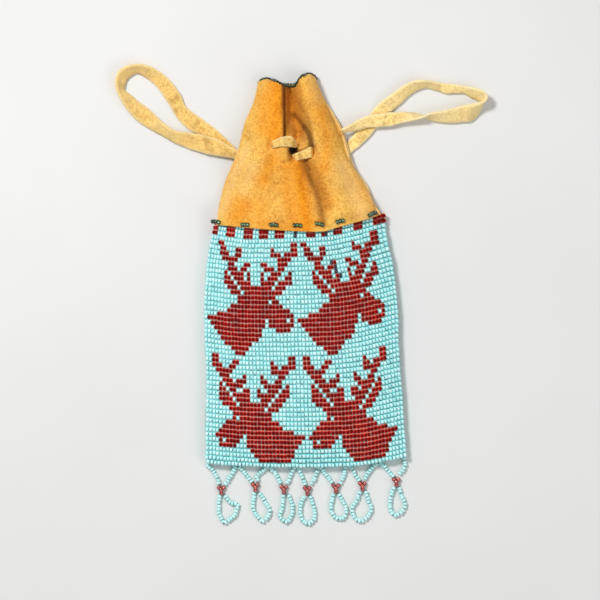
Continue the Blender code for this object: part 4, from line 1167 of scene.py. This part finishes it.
# %% Two drawstrings
# Each station has both edges of the strip, in pixels with a height in millimetres.
LEFT_EDGES = (
    (265.4, 158, 3.4, 258.4, 170.2, 3.4), (252.9, 152.2, 3.3, 246.9, 162.6, 3.3),
    (244.5, 155, 2.0, 240.8, 161.2, 2.0), (238.9, 151.9, 1.2, 232, 158.1, 1.2),
    (233.9, 146.2, 0.6, 226.4, 153.1, 0.6), (222, 134.8, 0.5, 213.9, 142.5, 0.5),
    (209.5, 124.4, 0.5, 200.8, 135.6, 0.5), (197, 115.6, 0.5, 189.5, 130, 0.5),
    (185.8, 106.2, 0.8, 178.2, 119.4, 0.5), (181.4, 96.2, 1, 170.1, 106.2, 0.5),
    (175.8, 87.5, 1.2, 163.2, 95.6, 0.5), (168.2, 78.8, 1.5, 156.4, 86.2, 0.5),
    (158.2, 70.6, 2.5, 148.9, 80, 0.5), (148.2, 66.5, 4.5, 142.6, 75.2, 0.5),
    (137, 65, 5.5, 137, 72.9, 0.5), (127, 66.9, 5, 130.8, 76, 0.5),
    (119.5, 71.9, 4.5, 126.4, 80.6, 0.5), (116, 80.6, 5, 125.1, 85.6, 0.5),
    (117.2, 90, 5.5, 124.2, 90.4, 0.8), (121.4, 100, 4.5, 130.8, 95.2, 0.8),
    (127, 109.4, 3, 137.6, 100.6, 0.6), (137, 120.6, 1, 149.5, 109.4, 0.6),
    (149.5, 128.8, 0.6, 158.2, 118.1, 3), (162, 135, 0.6, 167, 126.2, 4.5),
    (173.2, 141.9, 0.6, 177, 131.5, 4), (187, 148.1, 0.8, 189.5, 132.8, 2.2),
    (199.5, 152.1, 1.6, 200.8, 135, 2.4), (212, 155.2, 2, 213.2, 137.8, 2.4),
    (224.5, 157.1, 2, 223.2, 142.5, 2.6), (233.2, 158.5, 2.8, 232.6, 148.1, 3.4),
    (239.5, 160, 3.8, 238.2, 150.6, 4.1), (245.1, 161.2, 4.5, 243.9, 152.5, 4.6),
    (251.8, 161.8, 4.6, 250.2, 151.4, 4.7), (262.9, 163, 4.7, 260.9, 150.6, 4.7),
)
RIGHT_EDGES = (
    (313.7, 151.4, 3.2, 309.3, 140.6, 3.2), (324.8, 145.6, 3.0, 321.5, 136.0, 3.1),
    (335.7, 136, 3, 335, 131.4, 4.1), (343.6, 132.9, 3.2, 342.6, 129.6, 5),
    (351.4, 131.6, 2.6, 351.1, 124.6, 4.6), (359.3, 130, 2.3, 358.6, 120, 4.2),
    (368.6, 127.7, 2.2, 367.4, 116.4, 3.8), (378.6, 127.3, 2.4, 377.9, 114.4, 3.2),
    (388.6, 126.7, 2.4, 387.9, 113, 2.6), (397.1, 124.6, 2.8, 397.1, 112.4, 1.8),
    (407.1, 122.1, 3.8, 406.4, 112.6, 1.1), (415.7, 120, 5, 415.4, 113.4, 0.6),
    (422.9, 117.6, 6, 423.1, 116.1, 0.5), (430, 113.9, 5.5, 430.7, 120.4, 0.5),
    (441.4, 111.9, 5, 442.1, 122.6, 0.5), (451.4, 109.3, 4.5, 452.9, 123.3, 0.5),
    (461.4, 106.4, 4, 461.4, 122.3, 0.5), (470.7, 104.6, 5, 470.7, 121.4, 0.5),
    (478.6, 103.6, 6.5, 477.9, 114.3, 0.5), (484.3, 102.1, 7, 481.4, 105.7, 0.5),
    (486.9, 98.6, 7, 479.3, 101.4, 0.5), (485, 93.6, 6.5, 474.3, 98.6, 0.5),
    (478.6, 90, 6, 469.3, 96.4, 0.5), (470, 87.9, 5, 463.6, 93.1, 0.5),
    (458.6, 85.4, 3, 455.7, 93.3, 0.5), (447.1, 83.9, 2, 445.7, 93.6, 0.5),
    (435.7, 82.4, 3.5, 436.4, 90.4, 0.5), (425.7, 81.3, 5, 427.1, 87.6, 0.5),
    (415.7, 81.3, 5, 418.6, 89.7, 0.5), (405.7, 85, 4, 410, 94.7, 0.5),
    (395.7, 91.4, 3.5, 401.4, 102.9, 0.5), (385.7, 98.6, 3, 392.9, 110, 0.5),
    (375.7, 106.7, 1.4, 385, 117.9, 0.5), (368.6, 116.4, 0.6, 379.3, 125, 0.5),
    (362.1, 125, 0.5, 372.9, 132.9, 0.5), (356.4, 131.9, 0.5, 366.4, 140, 0.5),
    (350.7, 137.9, 0.5, 359.3, 146.4, 0.5), (345, 145, 0.6, 352.1, 152.1, 0.6),
    (338.6, 152.1, 1.2, 345.7, 159.3, 1.2), (333.6, 157.9, 2.0, 340.7, 164.3, 2.0),
    (324.3, 162.8, 3.0, 332.1, 172, 3.0), (314.5, 168.7, 3.4, 323.3, 179.5, 3.4),
)


# The pixels between two sections of a drawstring.
STRIP_STEP = 2.2


def drawstring(name, stations, route, node, finish):
    first, second = edge_line(stations, STRIP_STEP, THONG_THICKNESS / 2)
    piece = strip(name, first, second, finish)
    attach(piece, node)
    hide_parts(node)
    path = route_line(route)


drawstring("left_thong", LEFT_EDGES, LEFT_ROUTE, "drawstring_left", cream_suede)
drawstring("right_thong", RIGHT_EDGES, RIGHT_ROUTE, "drawstring_right", paler_cream_suede)

# %% [markdown]
# ### The stitches on the neck's front
#
# Each thong shows once on the front, where it comes out of one slit and goes into the next. The strip runs
# from inside the leather, over its surface and back in, so its heights count from the leather.

# %% Two stitches
LEFT_STITCH = (
    (270.6, 144.1, -2.4, 271.7, 148.6, -2.4), (272.2, 142.6, 0, 273, 149.4, 0),
    (277.8, 139.7, 0.9, 278.9, 147.9, 0.8), (283.3, 138, 1.2, 284.4, 147.7, 1.1),
    (288.3, 137.1, 1.3, 288.3, 147.8, 1.2), (292.8, 138.6, 1.2, 291.1, 148, 1.2),
    (295.8, 142.8, 0.4, 293.6, 148.3, 0.8), (297.2, 147, -1.4, 294.7, 149.2, -0.8),
    (297.3, 149.4, -3, 294.9, 151.1, -2.6),
)
RIGHT_STITCH = (
    (290.9, 153.9, -2.4, 293.9, 159.4, -2.4), (292.2, 155.2, -0.2, 295.8, 161.4, -0.1),
    (297.8, 153.3, 0.7, 298.9, 160.8, 0.7), (304.4, 150.6, 1.1, 305, 159.7, 1.1),
    (309.4, 148.1, 0.9, 310, 158.7, 0.9), (311.1, 147.8, 0.2, 311.7, 158.3, 0.2),
    (312.4, 147.4, -2.2, 312.9, 158.1, -2.2),
)
# The sections of a stitch are a pixel apart, and it spans the small dips of the leather under it.
STITCH_STEP = 1.0
BRIDGE_PASSES = 16
neck_tree = BVHTree.FromObject(neck_front, bpy.context.evaluated_depsgraph_get())
for word, stations in (("left", LEFT_STITCH), ("right", RIGHT_STITCH)):
    first, second = edge_line(stations, STITCH_STEP)
    ground = np.array([height_on(neck_tree, x, y) for x, y in (first[:, :2] + second[:, :2]) / 2])
    bridged = np.maximum(ground, smoothed(ground[None, :], BRIDGE_PASSES)[0])
    first[:, 2] += bridged
    second[:, 2] += bridged
    piece = strip(f"{word}_stitch", first, second, cream_suede)
    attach(piece, "bag")
    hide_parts(f"drawstring_{word}_stitch")
    print(piece.name, len(piece.data.polygons), "faces")

# %% [markdown]
# ## Bead edging and hem stitches
#
# Small dark green beads run along the rim, and seven short rows of three green beads hold the hem down.

# %% Beads along the rim
EDGING_WIDTH = 1.6 * MM
EDGING_PITCH = 1.45 * MM
RIM_OVERLAP = 0.7 * MM
# The line of the rim takes one of this many points of each skin.
RIM_SKIP = 6
# The front's beads show between these two pixels. On both sides of them they lie deeper.
SHOWN_FROM, SHOWN_TO, HIDE_RUN, HIDE_DEPTH = 262.0, 311.0, 2.5, 1.0 * MM
TOWARDS_MOUTH = (0.0, 1.0, 0.0)


def rim_line(skin, size):
    """The last row of a skin's first grid, pushed out past the rim and down by half the leather."""
    rows, columns = size
    rim = np.array([v.co[:] for v in skin.data.vertices[(rows - 1) * columns:rows * columns]])
    rim[:, 1] += EDGING_WIDTH / 2 - RIM_OVERLAP
    rim[:, 2] -= LEATHER / 2
    return rim


front_rim, back_rim = rim_line(neck_front, FRONT_GRID), rim_line(neck_back, BACK_GRID)
rim_px = front_rim[:, 0] / PIXEL + MIDDLE_PIXEL[0]
hidden = ease((SHOWN_FROM - rim_px) / HIDE_RUN) + ease((rim_px - SHOWN_TO) / HIDE_RUN)
front_rim[:, 1:] -= (hidden * HIDE_DEPTH)[:, None]
rim_points = np.concatenate([front_rim[::RIM_SKIP], back_rim[::-RIM_SKIP], front_rim[:1]])
rim_points[:, 2] = np.maximum(rim_points[:, 2], EDGING_WIDTH / 2)
middles, ways = evenly(rim_points, EDGING_PITCH)
edging = beads("rim_beads", middles, ways, TOWARDS_MOUTH, bottle, EDGING_WIDTH, EDGING_PITCH)
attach(edging, "bag")
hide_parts("mouth_edging")
print("beads on the rim:", len(middles))

# %% Seven hem stitches
# The middle of each stitch in pixels, and its slant in degrees.
HEM_STITCHES = (
    (216.3, 222.6, -8), (245.4, 225.8, -2), (273.8, 225.9, -4), (297.2, 226.4, -2), (319.2, 225.1, -11),
    (339.9, 222.2, 13), (371.9, 214.9, 27),
)
HEM_STITCH_REACH = 2.0 * MM
HEM_STITCH_BOW = 0.3 * MM
# The points of a stitch's line, as shares of its reach.
HEM_STITCH_SHARES = (-1, -0.4, 0, 0.4, 1)
HEM_BEAD_WIDTH = 2.1 * MM
HEM_STITCH_BEADS = 3
HEM_BEAD_PITCH = HEM_STITCH_REACH * 2 / HEM_STITCH_BEADS
HEM_BEAD_FILL = 1.04
# The beads are pulled into the leather: their middles are this share of a width above it.
HEM_BEAD_RISE = 0.2
UP = (0.0, 0.0, 1.0)
for number, (px, py, slant) in enumerate(HEM_STITCHES, 1):
    x, y = at_pixel(px, py)
    turn = math.radians(slant)
    line = []
    for share in HEM_STITCH_SHARES:
        along = share * HEM_STITCH_REACH
        bow = HEM_STITCH_BOW * (1 - share * share)
        spot = (x + along * math.cos(turn), y + along * math.sin(turn) + bow)
        line.append((*spot, height_on(neck_tree, *spot) + HEM_BEAD_WIDTH * HEM_BEAD_RISE))
    middles, ways = evenly(line, HEM_BEAD_PITCH)
    piece = beads(f"hem_beads_{number}", middles, ways, UP, bottle, HEM_BEAD_WIDTH, HEM_BEAD_PITCH,
                  fill=HEM_BEAD_FILL)
    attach(piece, "bag")
    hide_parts(f"hem_stitch_{number}")
print("hem stitches:", len(HEM_STITCHES))

# %% [markdown]
# ## The fringe
#
# Each pendant has two strands that meet at a knot of red beads, and a drop of blue beads under it. The
# points are read off the photograph, bead by bead where a strand bends.

# %% Points of each pendant, in the photograph's pixels
# Each pendant has its left strand, its right strand and its knot.
PENDANTS = (
    (((208, 465.5), (213, 470.5), (217, 477), (218.6, 484.5)),
     ((235, 467.5), (231, 475.5), (225, 484.5)), (221.3, 490)),
    (((240, 468), (247.2, 476), (252, 482.5)),
     ((266.5, 468), (259.5, 473), (257, 476.5), (257.4, 481)), (255.3, 487)),
    (((271, 468.5), (276.5, 474.5), (280.6, 483)),
     ((293.4, 468.8), (290.3, 476.5), (286.8, 484)), (283.8, 489.3)),
    (((298.8, 469.5), (302.6, 477.5), (305, 485.5)),
     ((317, 469), (315.8, 476), (311, 484.5)), (307.3, 490.5)),
    (((322, 468.7), (326, 475.5), (332.6, 482.5)),
     ((345, 468.4), (343.8, 475.5), (339.8, 483.5)), (335.8, 488.2)),
    (((350.4, 467), (354.6, 473), (359.8, 481)),
     ((375.8, 464), (370, 470.2), (364.4, 479.3)), (362.3, 485.8)),
    (((381, 463.5), (387, 469.5), (393.8, 476.8)),
     ((404.4, 459.5), (405, 465.6), (399.4, 474.6)), (396.2, 481.8)),
)
# Each drop counts its pixels from a point just under its knot.
DROP_PIXELS = (
    ((-1.6, 1), (-2.3, 7), (-2.3, 14), (-1.9, 20.5), (0.4, 25), (3, 28.2), (7, 26), (11.2, 23.5),
     (14.3, 19), (16, 14.3), (17.4, 11.8), (14.2, 9.7), (9.6, 8.2), (6.6, 5.8), (3.7, 1)),
    ((-1.3, 1), (-1.6, 8.5), (-2.3, 16.3), (-0.3, 21), (2.7, 26.3), (6.9, 30), (11.2, 27.1),
     (14.2, 22.5), (13.9, 17.9), (11.2, 12.5), (8.1, 7.9), (4, 1)),
    ((-0.7, 1), (-1.2, 9.7), (-2.8, 17.5), (-4, 22.8), (2.2, 28.2), (7.2, 23.5), (8.8, 17.5),
     (8, 9.7), (4.6, 1)),
    ((-2.4, 1), (-6.6, 9.5), (-6.9, 18), (-5, 24.9), (-0.3, 29), (5.4, 26.8), (7.3, 16), (5.2, 7.5),
     (2.9, 1)),
    ((-2.2, 1), (-4.3, 9.3), (-4.6, 17.8), (-1.2, 24.7), (3.4, 26.5), (8.8, 24.7), (10.7, 17.8),
     (7.2, 9.3), (3.1, 1)),
    ((-2.2, 1), (-5.3, 9.8), (-9, 16.7), (-9, 24.4), (-5, 29.8), (0.7, 30.5), (6.9, 25.2), (8.7, 16),
     (5.4, 9), (3.1, 1)),
    ((-2.2, 1), (-4.7, 7.6), (-6.2, 16), (-5.8, 23.8), (-1.6, 29.2), (3, 27.6), (7.6, 23),
     (8.4, 17.6), (5.3, 9.2), (3.1, 1)),
)
print("pendants:", len(PENDANTS), "drops:", len(DROP_PIXELS))

# %% Strings of beads on the table
# How far in pixels a strand's first bead is tucked up against the pouch, and how far beads sit off a line.
TUCK = 2.4
STRAND_JITTER = 0.12 * MM
DROP_PITCH = 1.45 * MM
DROP_BEAD_LENGTH = 1.5 * MM
# A drop starts this many pixels under the middle of its knot.
KNOT_FOOT = 4.0
KNOT_WIDTH = 2.05 * MM
KNOT_BEAD_LENGTH = 2.1 * MM
# The knot's four beads: pixels from its middle, a rise in millimetres and the way of the bore.
KNOT_BEADS = (
    (-2.1, -2.4, 0.0, (0.6, -0.8, 0)), (2.1, -2.4, 0.15, (-0.6, -0.8, 0)), (0, 0.2, 1.1, (0.2, -1.0, 0)),
    (0.2, 3.0, 0.1, (0.05, -1.0, 0)),
)


def lying(points):
    """Pixels as points of a string of beads that lies on the table."""
    return [(*at_pixel(px, py), BEAD_RADIUS) for px, py in points]


def strung(name, points, pitch, length):
    """A string of pale beads through pixels, each bead a little off the line."""
    middles, ways = evenly(lying(points), pitch)
    middles[:, :2] += rng.normal(0, STRAND_JITTER, (len(middles), 2))
    return beads(name, middles, ways, UP, aqua, length=length)


for number, ((left, right, knot), drop) in enumerate(zip(PENDANTS, DROP_PIXELS), 1):
    for word, leg in (("left", left), ("right", right)):
        back = -TUCK / math.dist(leg[0], leg[1])
        start = tuple(mix(a, b, back) for a, b in zip(leg[0], leg[1]))
        piece = strung(f"fringe_{number}_{word}_beads", (start, *leg[1:]), STRUNG_PITCH, STRUNG_PITCH)
        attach(piece, f"fringe_{number}")
        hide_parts(f"fringe_{number}_{word}_strand")
    x, y = knot
    cluster = np.array(lying([(x + across, y + down) for across, down, _, _ in KNOT_BEADS]))
    cluster[:, 2] += np.array([rise for _, _, rise, _ in KNOT_BEADS]) * MM
    piece = beads(f"fringe_{number}_red_beads", cluster, [way for *_, way in KNOT_BEADS], UP, knot_red,
                  KNOT_WIDTH, KNOT_BEAD_LENGTH)
    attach(piece, f"fringe_{number}")
    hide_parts(f"fringe_{number}_knot")
    loop = [(x + across, y + KNOT_FOOT + down) for across, down in drop]
    piece = strung(f"drop_{number}_beads", loop, DROP_PITCH, DROP_BEAD_LENGTH)
    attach(piece, f"drop_{number}")
    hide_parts(f"drop_{number}")
bead_faces = len(strand_faces(len(BEAD_RINGS), STRING_SIDES))
print("beads in the last drop:", len(piece.data.polygons) // bead_faces)

# %% [markdown]
# ## Floor, light and camera
#
# The bag lies on a plain pale floor. A lamp at the upper left gives each bead its highlight and the neck's
# folds their shade. A larger, weaker one opposite and a pale sky soften the shade. The camera looks
# straight down with a long lens, as in the photograph, whose 600 pixels cover about 270 mm.

# %% Floor
FLOOR_HALF = 1.6
FLOOR_DROP = 0.05 * MM
pale_floor = two_tone("pale_floor", scale=8, first=(0.74, 0.74, 0.73),
                      second=(0.78, 0.78, 0.77), roughness=0.8)
corners = [(x * FLOOR_HALF, y * FLOOR_HALF, 0) for x, y in ((-1, -1), (1, -1), (1, 1), (-1, 1))]
floor = add_piece("floor", corners, [[0, 1, 2, 3]], pale_floor, smooth=False)
floor.location.z = -FLOOR_DROP
print("floor:", 2 * FLOOR_HALF, "m wide")

# %% Lamps and sky
LAMP_AIM = Vector((0, 0.02, 0))
SKY_STRENGTH = 0.42


def soft_lamp(name, place, size, power):
    data = bpy.data.lights.new(name, "AREA")
    data.shape = "DISK"
    data.size = size
    data.energy = power
    lamp = bpy.data.objects.new(name, data)
    lamp.location = place
    lamp.rotation_euler = (LAMP_AIM - Vector(place)).to_track_quat("-Z", "Y").to_euler()
    bpy.context.scene.collection.objects.link(lamp)


soft_lamp("key_lamp", place=(-0.4, 0.45, 0.85), size=0.22, power=7.0)
soft_lamp("fill_lamp", place=(0.6, -0.3, 0.8), size=0.7, power=2.0)
world = bpy.data.worlds.new("soft_world")
bpy.context.scene.world = world
world.use_nodes = True
set_inputs(world.node_tree.nodes["Background"], {"Color": (1, 1, 1, 1), "Strength": SKY_STRENGTH})
bpy.context.scene.view_settings.view_transform = "Standard"
print("sky strength:", SKY_STRENGTH)

# %% Camera
LENS = 250
SENSOR = 36
PHOTO_SIZE = 600
camera_data = bpy.data.cameras.new("camera")
camera_data.lens = LENS
camera_data.sensor_width = SENSOR
camera = bpy.data.objects.new("camera", camera_data)
bpy.context.scene.collection.objects.link(camera)
aim = at_pixel(PHOTO_SIZE / 2, PHOTO_SIZE / 2)
camera.location = (*aim, PHOTO_SIZE * PIXEL * LENS / SENSOR)
camera.rotation_euler = (0, 0, 0)
bpy.context.scene.camera = camera
print("camera height:", round(camera.location.z, 3), "m")

# %% [markdown]
# ## End of the scene

# %% End
print("done")
